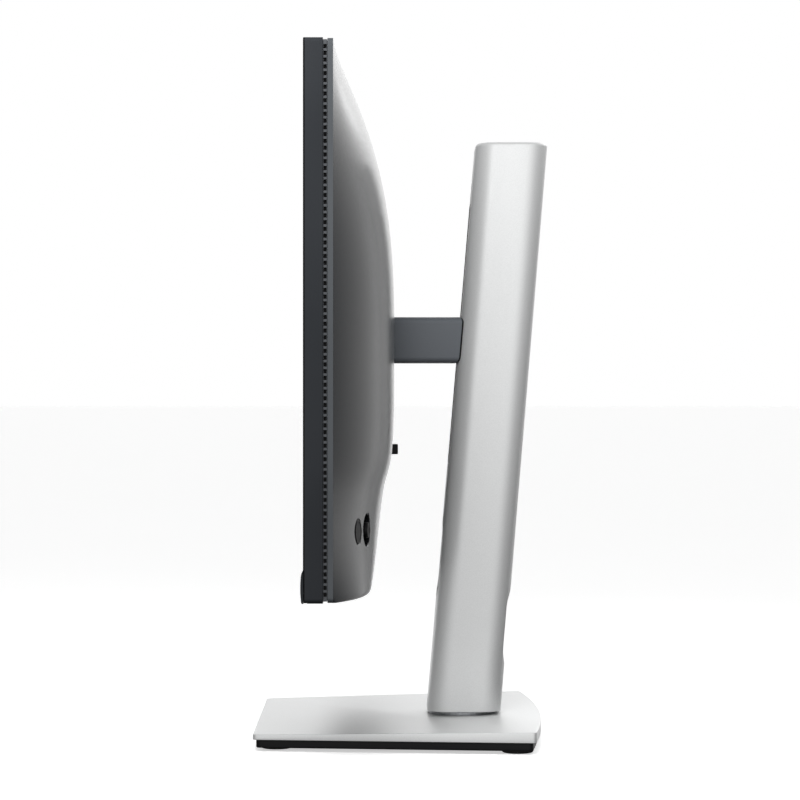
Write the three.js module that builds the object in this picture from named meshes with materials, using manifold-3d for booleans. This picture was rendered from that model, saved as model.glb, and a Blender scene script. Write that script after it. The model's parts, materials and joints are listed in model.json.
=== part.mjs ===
// A desktop computer monitor of the 23.8-inch class on a lifting, tilting and swivelling stand.
// Millimetres. +X is to the right as the screen is faced, +Y to the back, +Z up.
// The origin is on the desk, under the middle of the whole object's box.
import * as THREE from "three";
import { mergeVertices } from "three/addons/utils/BufferGeometryUtils.js";
import Module from "manifold-3d";

const wasm = await Module();
wasm.setup();

// ---- Driving dimensions: head ----
const HEAD_HALF_WIDTH = 269;
const HEAD_BOTTOM = 103.2;
const HEAD_TOP = 424.8;
const HEAD_CORNER = 3;
const FRONT_Y = -58.3; // front edge of the frame
const FRAME_BACK_Y = -47;
const LIP_Y = -44.5; // front rim of the back cover
const COVER_EDGE_Y = -41.2; // where the curved back starts
const PLATEAU_Y = -6.4; // flat middle of the curved back
const FLAT_HALF_WIDTH = 130; // beyond this the back falls away to the sides
const FLAT_HALF_AT_BOTTOM = 195; // the lower back is fuller
const FULLER_BELOW = 150;
const COVER_WALL = 2.4;
const FRAME_WALL = 1.6;
const CHIN_TOP = 121.9;
const CHIN_FRONT_Y = -59.9;
const PIVOT_Z = 256.5; // height of the arm, the tilt pin and the pivot
const TILT_Y = -8;
const DISH_RADIUS = 34;
const PLATE_HALF = 57.5;

// ---- Driving dimensions: stand ----
const LEAN = THREE.MathUtils.degToRad(4.815);
const COLUMN_FOOT_Y = 37.73; // the column's middle line meets the desk here
const COLUMN_BOTTOM = 15.8;
const COLUMN_TOP = 384.5;
const COLUMN_HALF_WIDTH = 27.5;
const COLUMN_HALF_DEPTH = 23.8;
const COLUMN_CORNER_ACROSS = 13;
const COLUMN_CORNER_DEEP = 14;
const COLUMN_WALL = 2.2;
const SWIVEL_Y = 38.5;
const BASE_FRONT_Y = -94.1;
const BASE_CORNER_Y = 81;
const BASE_BACK_Y = 88.5;
const BASE_FRONT_HALF = 109;
const BASE_BACK_HALF = 128;
const BASE_PLATE_BOTTOM = 7.5;
const BASE_TOP_FRONT = 10.9;
const BASE_TOP_BACK = 14.3;
const UNDERSIDE_BOTTOM = 2.35;
const FOOT_RADIUS = 10;

// ---- Driving dimensions: sockets and controls ----
const BAY_HALF_WIDTH = 125;
const BAY_FLOOR_Y = -38;
const BAY_TOP = 163.4;
const SOCKET_Z = BAY_TOP + 0.2;
const POWER_BUTTON_X = 226;
const JOYSTICK_X = 205;
const CONTROL_Z = 142;
const RELEASE_Z = 185.4;

const GAP = 0.3; // left between neighbouring pieces
const FAR = 400; // longer than anything that is cut
const SCREW_SHANK = 1.5; // radius
const SCREW_HEAD = 3; // radius
const SCREW_HOLE = 1.8; // radius

// ---- Finishes ----
function finish(color, roughness, metalness) {
  return new THREE.MeshStandardMaterial({ color, roughness, metalness, flatShading: true });
}

const DARK_PLASTIC = finish(0x46484c, 0.55, 0);
const COVER_PLASTIC = finish(0x55585d, 0.5, 0);
const BLACK_PLASTIC = finish(0x151618, 0.5, 0);
const SILVER = finish(0xc9cacd, 0.35, 0.6);
const STEEL = finish(0x9a9da1, 0.35, 0.9);
const SPRING_STEEL = finish(0x6f747a, 0.3, 0.9);
const RUBBER = finish(0x101011, 0.9, 0);
const GLASS = finish(0x08090b, 0.2, 0);
const OPTICS = finish(0xe8e9ea, 0.4, 0);
const BOARD = finish(0x1f4a2e, 0.6, 0);
const NYLON = finish(0xd8d6cf, 0.6, 0);

// ---- Solids ----
function solid(geometry) {
  const bare = new THREE.BufferGeometry();
  bare.setAttribute("position", geometry.getAttribute("position"));
  bare.setIndex(geometry.getIndex());
  const merged = mergeVertices(bare, 1e-4);
  return new wasm.Manifold(
    new wasm.Mesh({
      numProp: 3,
      vertProperties: new Float32Array(merged.getAttribute("position").array),
      triVerts: new Uint32Array(merged.getIndex().array),
    }),
  );
}

function join(...pieces) {
  return pieces.reduce((sum, piece) => sum.add(piece));
}

function cut(piece, ...tools) {
  return tools.reduce((rest, tool) => rest.subtract(tool), piece);
}

// A box between two corners.
function block([x0, y0, z0], [x1, y1, z1]) {
  const geometry = new THREE.BoxGeometry(x1 - x0, y1 - y0, z1 - z0);
  return solid(geometry.translate((x0 + x1) / 2, (y0 + y1) / 2, (z0 + z1) / 2));
}

// A box that is the same to the left and right of the middle plane.
function midBlock(halfWidth, [y0, y1], [z0, z1]) {
  return block([-halfWidth, y0, z0], [halfWidth, y1, z1]);
}

const X_AXIS = new THREE.Vector3(1, 0, 0);
const Y_AXIS = new THREE.Vector3(0, 1, 0);
const Z_AXIS = new THREE.Vector3(0, 0, 1);
const EXTRUDE_ALONG = {
  x: new THREE.Matrix4().makeBasis(Y_AXIS, Z_AXIS, X_AXIS), // outline in Y and Z
  y: new THREE.Matrix4().makeBasis(X_AXIS, Z_AXIS, Y_AXIS.clone().negate()), // in X and Z
  z: new THREE.Matrix4(), // in X and Y
};

// An outline drawn out along an axis, from one station to the other.
function prismGeometry(shape, axis, from, to, curveSegments = 6) {
  const depth = to - from;
  const geometry = new THREE.ExtrudeGeometry(shape, { depth, bevelEnabled: false, curveSegments });
  geometry.applyMatrix4(EXTRUDE_ALONG[axis]);
  const start = { x: [from, 0, 0], y: [0, to, 0], z: [0, 0, from] }[axis];
  return geometry.translate(...start);
}

function prism(shape, axis, from, to, curveSegments) {
  return solid(prismGeometry(shape, axis, from, to, curveSegments));
}

// A round bar along an axis; its middle line is given by the two other coordinates.
function rod(radius, axis, from, to, [a, b], sides = 24) {
  const shape = new THREE.Shape();
  shape.absarc(a, b, radius, 0, 2 * Math.PI, false);
  return prism(shape, axis, from, to, sides / 2);
}

function roundedRect(x0, x1, y0, y1, r) {
  const shape = new THREE.Shape();
  shape.moveTo(x0 + r, y0);
  shape.lineTo(x1 - r, y0);
  shape.absarc(x1 - r, y0 + r, r, -Math.PI / 2, 0, false);
  shape.lineTo(x1, y1 - r);
  shape.absarc(x1 - r, y1 - r, r, 0, Math.PI / 2, false);
  shape.lineTo(x0 + r, y1);
  shape.absarc(x0 + r, y1 - r, r, Math.PI / 2, Math.PI, false);
  shape.lineTo(x0, y0 + r);
  shape.absarc(x0 + r, y0 + r, r, Math.PI, 1.5 * Math.PI, false);
  return shape;
}

function outline(points) {
  return new THREE.Shape(points.map(([a, b]) => new THREE.Vector2(a, b)));
}

// A pan-head screw along +Y or +Z from the outer face of its head.
function screw(axis, head, place, length) {
  const headHeight = 1.5;
  const shank = rod(SCREW_SHANK, axis, head, head + length, place, 12);
  return join(rod(SCREW_HEAD, axis, head, head + headHeight, place, 12), shank);
}

// ---- The tree of groups ----
const monitor = new THREE.Group();
const column = new THREE.Group(); // its own Z runs up the leaning column
column.position.set(0, COLUMN_FOOT_Y, 0);
column.rotation.x = -LEAN;
monitor.add(column);
monitor.updateMatrixWorld(true);

function add(name, piece, material, parent = monitor) {
  const mesh = piece.getMesh();
  const geometry = new THREE.BufferGeometry();
  geometry.setAttribute("position", new THREE.BufferAttribute(mesh.vertProperties, 3));
  geometry.setIndex(new THREE.BufferAttribute(mesh.triVerts, 1));
  geometry.computeVertexNormals();
  const part = new THREE.Mesh(geometry, material);
  part.name = name;
  parent.add(part);
}

// ---- Base ----
// Seen from above: a straight front, sides that open to the back, and a shallow arc behind.
function baseOutline(inset) {
  const front = BASE_FRONT_HALF - inset;
  const back = BASE_BACK_HALF - inset;
  const frontY = BASE_FRONT_Y + inset;
  const cornerY = BASE_CORNER_Y - inset;
  const crownY = 2 * BASE_BACK_Y - BASE_CORNER_Y - inset;
  const corner = 3;
  const flare = 0.3; // how far a side opens within a corner
  const shape = new THREE.Shape();
  shape.moveTo(-front + corner, frontY);
  shape.lineTo(front - corner, frontY);
  shape.quadraticCurveTo(front, frontY, front + flare, frontY + corner);
  shape.lineTo(back - flare, cornerY - corner);
  shape.quadraticCurveTo(back, cornerY, back - corner, cornerY + flare);
  shape.quadraticCurveTo(0, crownY, -back + corner, cornerY + flare);
  shape.quadraticCurveTo(-back, cornerY, -back + flare, cornerY - corner);
  shape.lineTo(-front - flare, frontY + corner);
  shape.quadraticCurveTo(-front, frontY, -front + corner, frontY);
  return shape;
}

// The plate's top rises evenly from the front edge to the back edge.
function baseWedge() {
  const geometry = prismGeometry(baseOutline(0), "z", BASE_PLATE_BOTTOM, BASE_TOP_FRONT, 10);
  const position = geometry.getAttribute("position");
  const slope = (BASE_TOP_BACK - BASE_TOP_FRONT) / (BASE_BACK_Y - BASE_FRONT_Y);
  for (let i = 0; i < position.count; i++) {
    if (position.getZ(i) > BASE_PLATE_BOTTOM + 1) {
      position.setZ(i, BASE_TOP_FRONT + slope * (position.getY(i) - BASE_FRONT_Y));
    }
  }
  return solid(geometry);
}

const RACE_RADIUS = 22.2;
const RACE_BOTTOM = 9.8;
const RACE_TOP = 11.8;
const SPIGOT_RADIUS = 13.6;
const RETAINER_RADIUS = 18;
const BORE_RADIUS = 4.6;
const SWIVEL_AXIS = [0, SWIVEL_Y];
const BASE_SCREWS = { base_screw_left: [-60, -10], base_screw_right: [60, -10] };
const FEET = {
  foot_front_left: [-87, -80],
  foot_front_right: [87, -80],
  foot_rear_left: [-110, 70],
  foot_rear_right: [110, 70],
};

function addBase() {
  const top = BASE_TOP_BACK + 5;
  const pocket = rod(RACE_RADIUS + 0.4, "z", RACE_BOTTOM - 0.2, top, SWIVEL_AXIS, 32);
  const bore = rod(SPIGOT_RADIUS + 0.5, "z", 0, top, SWIVEL_AXIS, 32);
  const screwPlaces = Object.values(BASE_SCREWS);
  const screwHoles = screwPlaces.map((place) => rod(SCREW_HOLE, "z", 0, 10, place, 12));
  add("base_plate", cut(baseWedge(), pocket, bore, ...screwHoles), SILVER);

  const trayInset = 2;
  const tray = prism(baseOutline(trayInset), "z", UNDERSIDE_BOTTOM, BASE_PLATE_BOTTOM - GAP, 8);
  const well = rod(RETAINER_RADIUS + 1, "z", 0, BASE_PLATE_BOTTOM + 1, SWIVEL_AXIS, 32);
  const counterbores = screwPlaces.map((place) => rod(SCREW_HEAD + 0.4, "z", 0, 4.4, place, 12));
  add("base_underside", cut(tray, well, ...screwHoles, ...counterbores), BLACK_PLASTIC);
  const screwBottom = UNDERSIDE_BOTTOM + 0.25;
  for (const [name, place] of Object.entries(BASE_SCREWS)) {
    add(name, screw("z", screwBottom, place, 6), STEEL);
  }
  for (const [name, place] of Object.entries(FEET)) {
    add(name, rod(FOOT_RADIUS, "z", 0, UNDERSIDE_BOTTOM - 0.05, place, 24), RUBBER);
  }
  const race = rod(RACE_RADIUS, "z", RACE_BOTTOM, RACE_TOP, SWIVEL_AXIS, 32);
  add("swivel_race", cut(race, rod(SPIGOT_RADIUS + 0.4, "z", 0, 20, SWIVEL_AXIS, 32)), NYLON);
}

// ---- Swivel and stand screw ----
function addTurntable() {
  const bore = rod(BORE_RADIUS, "z", 0, 20, SWIVEL_AXIS, 16);
  const spigot = rod(SPIGOT_RADIUS, "z", 4.8, RACE_TOP + GAP, SWIVEL_AXIS, 32);
  const tableRadius = RACE_RADIUS - 0.3;
  const table = rod(tableRadius, "z", RACE_TOP + 0.2, COLUMN_BOTTOM - GAP, SWIVEL_AXIS, 32);
  add("turntable", cut(join(spigot, table), bore), STEEL);
  const clip = rod(RETAINER_RADIUS, "z", 5, BASE_PLATE_BOTTOM - GAP, SWIVEL_AXIS, 32);
  const clipHole = rod(SPIGOT_RADIUS + GAP, "z", 0, 20, SWIVEL_AXIS, 32);
  add("swivel_retainer", cut(clip, clipHole), STEEL);

  const headBottom = 2.9;
  const headTop = 4.4;
  const shankTop = 24;
  const head = rod(10.5, "z", headBottom, headTop, SWIVEL_AXIS, 24);
  const shank = rod(BORE_RADIUS - 0.5, "z", headTop - 0.1, shankTop, SWIVEL_AXIS, 16);
  add("stand_screw", join(head, shank), STEEL);
  const ringOuter = 9;
  const ringInner = 6;
  const ringThickness = 1.2;
  const ringBottom = 1.3;
  const loop = new THREE.Shape();
  loop.absarc(0, SWIVEL_Y, ringOuter, 0, Math.PI, false);
  const hole = new THREE.Path();
  hole.absarc(0, SWIVEL_Y + 2.2, ringInner, 0, Math.PI, false);
  loop.holes.push(hole);
  add("stand_screw_ring", prism(loop, "z", ringBottom, ringBottom + ringThickness, 10), STEEL);
}

// ---- Column ----
// A rounded section: the sides are flat in the middle, and elliptical corners turn to the front.
function columnSection(grow) {
  const a = COLUMN_HALF_WIDTH + grow;
  const b = COLUMN_HALF_DEPTH + grow;
  const rx = COLUMN_CORNER_ACROSS + grow;
  const ry = COLUMN_CORNER_DEEP + grow;
  const shape = new THREE.Shape();
  shape.moveTo(a - rx, -b);
  shape.absellipse(a - rx, -b + ry, rx, ry, -Math.PI / 2, 0, false, 0);
  shape.absellipse(a - rx, b - ry, rx, ry, 0, Math.PI / 2, false, 0);
  shape.absellipse(-a + rx, b - ry, rx, ry, Math.PI / 2, Math.PI, false, 0);
  shape.absellipse(-a + rx, -b + ry, rx, ry, Math.PI, 1.5 * Math.PI, false, 0);
  return shape;
}

// A slab that is level in the room, given in the leaning column's own axes.
function levelSlab(zLow, zHigh) {
  const geometry = new THREE.BoxGeometry(FAR, FAR, zHigh - zLow);
  geometry.translate(0, COLUMN_FOOT_Y, (zLow + zHigh) / 2);
  return solid(geometry.applyMatrix4(column.matrixWorld.clone().invert()));
}

// Heights on the column's front and back faces, along the column.
const FACE_SHIFT = COLUMN_HALF_DEPTH * Math.sin(LEAN);
const frontStation = (z) => (z - FACE_SHIFT) / Math.cos(LEAN);
const backStation = (z) => (z + FACE_SHIFT) / Math.cos(LEAN);
const SLOT = [frontStation(176), frontStation(346)];
const FRONT_OPENING = [frontStation(88.5), frontStation(141.5)];
const BACK_OPENING = [backStation(42.6), backStation(97.6)];
const SLOT_HALF_WIDTH = 11.2;
const FRONT_OPENING_HALF = 18;
const BACK_OPENING_HALF = 21;

const SLOT_CORNER = 4;
const FRONT_CORNER = 12;
const BACK_CORNER = 14;
const THROUGH_FRONT = [-30, -10]; // Y range of a cut through the column's front wall
const THROUGH_BACK = [10, 30];

function window(halfWidth, [low, high], radius, [y0, y1]) {
  return prism(roundedRect(-halfWidth, halfWidth, low, high, radius), "y", y0, y1, 5);
}

function addColumnShell() {
  const between = levelSlab(COLUMN_BOTTOM, COLUMN_TOP);
  const outer = prism(columnSection(0), "z", 0, FAR, 6).intersect(between);
  const inner = prism(columnSection(-COLUMN_WALL), "z", -10, FAR, 6);
  const roof = 3;
  const hollow = inner.intersect(levelSlab(-20, COLUMN_TOP - roof));
  const slot = window(SLOT_HALF_WIDTH, SLOT, SLOT_CORNER, THROUGH_FRONT);
  const front = window(FRONT_OPENING_HALF, FRONT_OPENING, FRONT_CORNER, THROUGH_FRONT);
  const back = window(BACK_OPENING_HALF, BACK_OPENING, BACK_CORNER, THROUGH_BACK);
  add("column_shell", cut(outer, hollow, slot, front, back), SILVER, column);
}

const MAST_HALF = 20;
const MAST_SHEET = 1.6;
const MAST_FRONT = -12;
const MAST_BACK = 17;
const MAST_BOTTOM = 18.2;
const MAST_FLOOR = 2; // thickness
const CABLE_PASS_HALF = 16;
const CABLE_PASS = [38, 146];
const FOOT_SCREW_HOLE = 5.5; // radius
const FOOT_SCREW_PLACE = [0, -0.7];
const RAIL_DEPTH = [-6, 2];
const RAIL_THICKNESS = 2.4;
const RAIL_BOTTOM = 150;
const RAIL_TOP = 372;
const LINER_DEPTH = [-23.5, -20.4];
const LINER_SIDE = 2.2; // wall
const LINER_END = 2; // wall
const GROMMET_DEPTH = [18.2, 21.7];
const GROMMET_WALL = 2.3;

function addMast() {
  const inside = MAST_HALF - MAST_SHEET;
  const channel = midBlock(MAST_HALF, [MAST_FRONT, MAST_BACK], [MAST_BOTTOM, RAIL_TOP]);
  const room = [MAST_FRONT - 1, MAST_BACK - MAST_SHEET];
  const hollow = midBlock(inside, room, [MAST_BOTTOM + MAST_FLOOR, FAR]);
  const cablePass = midBlock(CABLE_PASS_HALF, THROUGH_BACK, CABLE_PASS);
  const screwHole = rod(FOOT_SCREW_HOLE, "z", 0, MAST_BOTTOM + 5, FOOT_SCREW_PLACE, 16);
  add("mast_channel", cut(channel, hollow, cablePass, screwHole), STEEL, column);

  const outer = inside - GAP;
  const inner = outer - RAIL_THICKNESS;
  const [front, back] = RAIL_DEPTH;
  add("lift_rail_left", block([-outer, front, RAIL_BOTTOM], [-inner, back, RAIL_TOP]), NYLON, column);
  add("lift_rail_right", block([inner, front, RAIL_BOTTOM], [outer, back, RAIL_TOP]), NYLON, column);

  const [bottom, top] = SLOT;
  const linerEnds = [bottom + GAP, top - GAP];
  const liner = window(SLOT_HALF_WIDTH - GAP, linerEnds, SLOT_CORNER - GAP, LINER_DEPTH);
  const holeEnds = [bottom + LINER_END, top - LINER_END];
  const linerHole = window(SLOT_HALF_WIDTH - LINER_SIDE, holeEnds, 2.5, THROUGH_FRONT);
  add("slot_liner", cut(liner, linerHole), BLACK_PLASTIC, column);

  const [low, high] = BACK_OPENING;
  const grommetEnds = [low + GAP, high - GAP];
  const grommet = window(BACK_OPENING_HALF - GAP, grommetEnds, BACK_CORNER - GAP, GROMMET_DEPTH);
  const cableEnds = [low + GROMMET_WALL, high - GROMMET_WALL];
  const cableHalf = BACK_OPENING_HALF - GROMMET_WALL;
  const cableHole = window(cableHalf, cableEnds, BACK_CORNER - GROMMET_WALL, THROUGH_BACK);
  add("cable_grommet", cut(grommet, cableHole), BLACK_PLASTIC, column);
}

// ---- Lift carriage, spring and arm ----
const CARRIAGE_HALF = 15.2;
const CARRIAGE_DEPTH = [-9, 7.8];
const CARRIAGE_HEIGHTS = [222, 290];
const POCKET_HALF = 9;
const POCKET_HEIGHTS = [232, 280];
const EAR_INNER = 8.6;
const EAR_OUTER = 10.8;
const EAR_HALF_DEPTH = 4;
const EAR_TOP = 305;
const COIL_STATION = 301;
const COIL_RADIUS = 8;
const COIL_HALF = 8;
const COIL_SHAFT = 2.2; // radius
const STRIP_HALF = 7.5;
const STRIP_BACK = 8.8;
const STRIP_BOTTOM = 240;
const STRIP_TOP = 371;
const ANCHOR_BOTTOM = 369.5;

function addCarriage() {
  const body = midBlock(CARRIAGE_HALF, CARRIAGE_DEPTH, CARRIAGE_HEIGHTS);
  const pocket = midBlock(POCKET_HALF, [-2, CARRIAGE_DEPTH[1] + 4], POCKET_HEIGHTS);
  const earBottom = CARRIAGE_HEIGHTS[1] - 1;
  const ears = [-EAR_OUTER, EAR_INNER].map((x) => {
    const far = x + EAR_OUTER - EAR_INNER;
    return block([x, -EAR_HALF_DEPTH, earBottom], [far, EAR_HALF_DEPTH, EAR_TOP]);
  });
  const axis = [0, COIL_STATION];
  const shaft = rod(COIL_SHAFT, "x", -POCKET_HALF, POCKET_HALF, axis, 12);
  add("lift_carriage", cut(join(body, ...ears, shaft), pocket), NYLON, column);

  const coil = rod(COIL_RADIUS, "x", -COIL_HALF, COIL_HALF, axis, 24);
  const bore = rod(COIL_SHAFT + 0.4, "x", -COIL_HALF - 2, COIL_HALF + 2, axis, 12);
  add("spring_coil", cut(coil, bore), SPRING_STEEL, column);
  const stripFront = COIL_RADIUS + GAP;
  const strip = midBlock(STRIP_HALF, [stripFront, STRIP_BACK], [STRIP_BOTTOM, STRIP_TOP]);
  const anchorDepth = [stripFront, MAST_BACK - MAST_SHEET - GAP];
  const anchor = midBlock(STRIP_HALF, anchorDepth, [ANCHOR_BOTTOM, STRIP_TOP]);
  add("spring_strip", join(strip, anchor), SPRING_STEEL, column);
}

const PIN_RADIUS = 3.6;
const PIN_HALF = 15.5;
const PIN_AXIS = [TILT_Y, PIVOT_Z];
const EYE_RADIUS = 7;
const EYE_HALF = 8;
const NECK_BACK = 8;
const NECK_HALF_HEIGHT = 5.5;
const BAR_BACK = 49;
const BAR_HALF_HEIGHT = 9.5;
const WASHER_START = EYE_HALF + GAP;
const WASHER_THICKNESS = 2;
const ARM_HALF_WIDTH = 22;
const ARM_HALF_HEIGHT = 14.9;
const ARM_FRONT_Y = -10.5;
const ARM_BACK_Y = 45;
const ARM_WALL = 2;
const ARM_CORNER = 4;
const aroundPivot = (half) => [PIVOT_Z - half, PIVOT_Z + half];

function armSection(wall, corner) {
  const half = ARM_HALF_WIDTH - wall;
  return roundedRect(-half, half, ...aroundPivot(ARM_HALF_HEIGHT - wall), corner);
}

function addArm() {
  const pinHole = rod(PIN_RADIUS + GAP, "x", -30, 30, PIN_AXIS, 16);
  const eye = rod(EYE_RADIUS, "x", -EYE_HALF, EYE_HALF, PIN_AXIS, 24);
  const neck = midBlock(EYE_HALF, [TILT_Y, NECK_BACK], aroundPivot(NECK_HALF_HEIGHT));
  const bar = midBlock(EYE_HALF, [NECK_BACK - 1, BAR_BACK], aroundPivot(BAR_HALF_HEIGHT));
  add("arm_bracket", cut(join(eye, neck, bar), pinHole), STEEL);
  add("tilt_pin", rod(PIN_RADIUS, "x", -PIN_HALF, PIN_HALF, PIN_AXIS, 16), STEEL);
  const washers = {
    friction_washer_left: -WASHER_START - WASHER_THICKNESS,
    friction_washer_right: WASHER_START,
  };
  for (const [name, x] of Object.entries(washers)) {
    const washer = rod(EYE_RADIUS, "x", x, x + WASHER_THICKNESS, PIN_AXIS, 20);
    add(name, cut(washer, pinHole), SPRING_STEEL);
  }

  const outer = prism(armSection(0, ARM_CORNER), "y", ARM_FRONT_Y, ARM_BACK_Y, 4);
  const inner = prism(armSection(ARM_WALL, 2.5), "y", -30, 60, 3);
  const columnRoom = prismGeometry(columnSection(1), "z", 100, FAR, 6);
  columnRoom.applyMatrix4(column.matrixWorld);
  add("arm_cover", cut(outer, inner, solid(columnRoom)), DARK_PLASTIC);
}

// ---- Tilt head ----
const KNUCKLE_HALF = 15;
const KNUCKLE_FRONT = -18.2;
const KNUCKLE_BACK = -16;
const KNUCKLE_HALF_HEIGHT = 11;
const LUG_INNER = 10.6;
const LUG_WIDTH = 3.6;
const LUG_RADIUS = 6.5;
const LUG_HALF_HEIGHT = 6;
const HUB_RADIUS = 27;
const HUB_FRONT = -21.2;
const HUB_BACK = -18.5;

function addTiltHead() {
  const pinHole = rod(PIN_RADIUS + GAP, "x", -30, 30, PIN_AXIS, 16);
  const depth = [KNUCKLE_FRONT, KNUCKLE_BACK];
  const foot = midBlock(KNUCKLE_HALF, depth, aroundPivot(KNUCKLE_HALF_HEIGHT));
  const [low, high] = aroundPivot(LUG_HALF_HEIGHT);
  const lugs = [-LUG_INNER - LUG_WIDTH, LUG_INNER].map((x) => {
    const eye = rod(LUG_RADIUS, "x", x, x + LUG_WIDTH, PIN_AXIS, 20);
    return join(eye, block([x, KNUCKLE_BACK - 1, low], [x + LUG_WIDTH, TILT_Y, high]));
  });
  add("tilt_knuckle", cut(join(foot, ...lugs), pinHole), STEEL);
  add("pivot_hub", rod(HUB_RADIUS, "y", HUB_FRONT, HUB_BACK, [0, PIVOT_Z], 32), STEEL);
}

// ---- Back cover ----
// How far the back lies under the flat middle, along the middle plane.
const BULGE_TOP_START = 262;
const BULGE_POWER = 2.55;
const FULLNESS_POWER = 1.5;
const EDGE_DROP = PLATEAU_Y - COVER_EDGE_Y;
const LOWER_BACK = [
  [HEAD_BOTTOM, 16.8],
  [104, 15.2],
  [105.6, 14],
  [108, 13.4],
  [165.8, 6],
  [172, 4.3],
  [178.5, 2.6],
  [186, 1.4],
  [200, 0.5],
  [222, 0],
];

function profileDrop(z) {
  if (z >= BULGE_TOP_START) {
    return EDGE_DROP * ((z - BULGE_TOP_START) / (HEAD_TOP - BULGE_TOP_START)) ** BULGE_POWER;
  }
  const above = LOWER_BACK.findIndex(([height]) => height >= z);
  if (above < 0) return 0;
  if (above === 0) return LOWER_BACK[0][1];
  const [z0, drop0] = LOWER_BACK[above - 1];
  const [z1, drop1] = LOWER_BACK[above];
  return drop0 + ((drop1 - drop0) * (z - z0)) / (z1 - z0);
}

// Half the width over which the back keeps its full depth, at a height.
function flatHalf(z) {
  const down = THREE.MathUtils.clamp((FULLER_BELOW - z) / (FULLER_BELOW - HEAD_BOTTOM), 0, 1);
  return FLAT_HALF_WIDTH + (FLAT_HALF_AT_BOTTOM - FLAT_HALF_WIDTH) * down ** FULLNESS_POWER;
}

function backY(x, z) {
  const flat = flatHalf(z);
  const beyond = Math.max(0, Math.abs(x) - flat);
  const side = (beyond / (HEAD_HALF_WIDTH - flat)) ** 2;
  const drop = profileDrop(z);
  return PLATEAU_Y - drop - (EDGE_DROP - drop) * side;
}

const SIDE_STATIONS = [0, 130, 148, 165, 181, 196, 210, 224, 237, 249, 260, HEAD_HALF_WIDTH];
const COLUMNS = [...SIDE_STATIONS.slice(1).map((x) => -x).reverse(), ...SIDE_STATIONS];
const FLANK_ROWS = [114, 122, 131, 140, 150]; // where the full depth narrows
const UPPER_ROWS = [242, BULGE_TOP_START, 285, 305, 324, 341, 357, 372, 386, 399, 410, 418, HEAD_TOP];
const ROWS = [...LOWER_BACK.map(([z]) => z), ...FLANK_ROWS, ...UPPER_ROWS].sort((a, b) => a - b);

// The closed solid between the curved back, sunk by drop, and a flat plane in front of it.
function pillow(inset, drop, planeY) {
  const shrinkX = (HEAD_HALF_WIDTH - inset) / HEAD_HALF_WIDTH;
  const middle = (HEAD_TOP + HEAD_BOTTOM) / 2;
  const shrinkZ = 1 - (2 * inset) / (HEAD_TOP - HEAD_BOTTOM);
  const wide = COLUMNS.length;
  const tall = ROWS.length;
  const points = [];
  for (const layer of ["back", "front"]) {
    for (const row of ROWS) {
      for (const station of COLUMNS) {
        const x = station * shrinkX;
        const z = middle + (row - middle) * shrinkZ;
        points.push(x, layer === "back" ? backY(x, z) - drop : planeY, z);
      }
    }
  }
  const faces = [];
  const quad = (a, b, c, d) => faces.push(a, b, c, a, c, d);
  const at = (layer, j, i) => layer * wide * tall + j * wide + i;
  for (let j = 0; j < tall - 1; j++) {
    for (let i = 0; i < wide - 1; i++) {
      quad(at(0, j, i), at(0, j + 1, i), at(0, j + 1, i + 1), at(0, j, i + 1));
      quad(at(1, j, i), at(1, j, i + 1), at(1, j + 1, i + 1), at(1, j + 1, i));
    }
  }
  for (let i = 0; i < wide - 1; i++) {
    quad(at(0, 0, i), at(0, 0, i + 1), at(1, 0, i + 1), at(1, 0, i));
    quad(at(0, tall - 1, i + 1), at(0, tall - 1, i), at(1, tall - 1, i), at(1, tall - 1, i + 1));
  }
  for (let j = 0; j < tall - 1; j++) {
    quad(at(0, j + 1, 0), at(0, j, 0), at(1, j, 0), at(1, j + 1, 0));
    quad(at(0, j, wide - 1), at(0, j + 1, wide - 1), at(1, j + 1, wide - 1), at(1, j, wide - 1));
  }
  const geometry = new THREE.BufferGeometry();
  geometry.setAttribute("position", new THREE.Float32BufferAttribute(points, 3));
  geometry.setIndex(faces);
  return solid(geometry);
}

function headOutline(inset) {
  const half = HEAD_HALF_WIDTH - inset;
  const corner = Math.max(HEAD_CORNER - inset, 1);
  return roundedRect(-half, half, HEAD_BOTTOM + inset, HEAD_TOP - inset, corner);
}

const BAY_SLOPE_TOP = 137; // the bay's lower side slopes from here to its lip
const BAY_LIP_Y = -16;
const BAY_LIP_Z = 114;
const BAY_WALL = 2;
const BEHIND_BACK_Y = 10;

function bayShape(grow) {
  return outline([
    [BAY_FLOOR_Y - grow, BAY_TOP + grow],
    [BAY_FLOOR_Y - grow, BAY_SLOPE_TOP - grow / 2],
    [BAY_LIP_Y - grow, BAY_LIP_Z - grow],
    [BEHIND_BACK_Y, BAY_LIP_Z - grow],
    [BEHIND_BACK_Y, BAY_TOP + grow],
  ]);
}

// The sockets in the bay's ceiling: middle X, outer width, back Y, depth, wall and mouths side by side.
const SOCKET_FRONT_Y = -37.5;
const SOCKETS = [
  { name: "power_inlet", x: -92, width: 28, backY: -17.7, depth: 22, wall: 1.6, mouths: 1 },
  { name: "hdmi_socket", x: -36, width: 17, backY: -30.4, depth: 12, wall: 1.2, mouths: 1 },
  { name: "display_socket", x: -6, width: 19, backY: -30.2, depth: 12, wall: 1.2, mouths: 1 },
  { name: "usb_upstream_socket", x: 46, width: 12, backY: -26.4, depth: 14, wall: 1.6, mouths: 1 },
  { name: "usb_socket_pair", x: 88, width: 33, backY: -29.7, depth: 14, wall: 1.2, mouths: 2 },
];

function socketHole({ x, width, backY: y1 }) {
  const y0 = SOCKET_FRONT_Y;
  const half = width / 2 + GAP;
  const low = [x - half, y0 - GAP, BAY_TOP - BAY_WALL];
  return block(low, [x + half, y1 + GAP, BAY_TOP + BAY_WALL + 1.2]);
}

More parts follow.
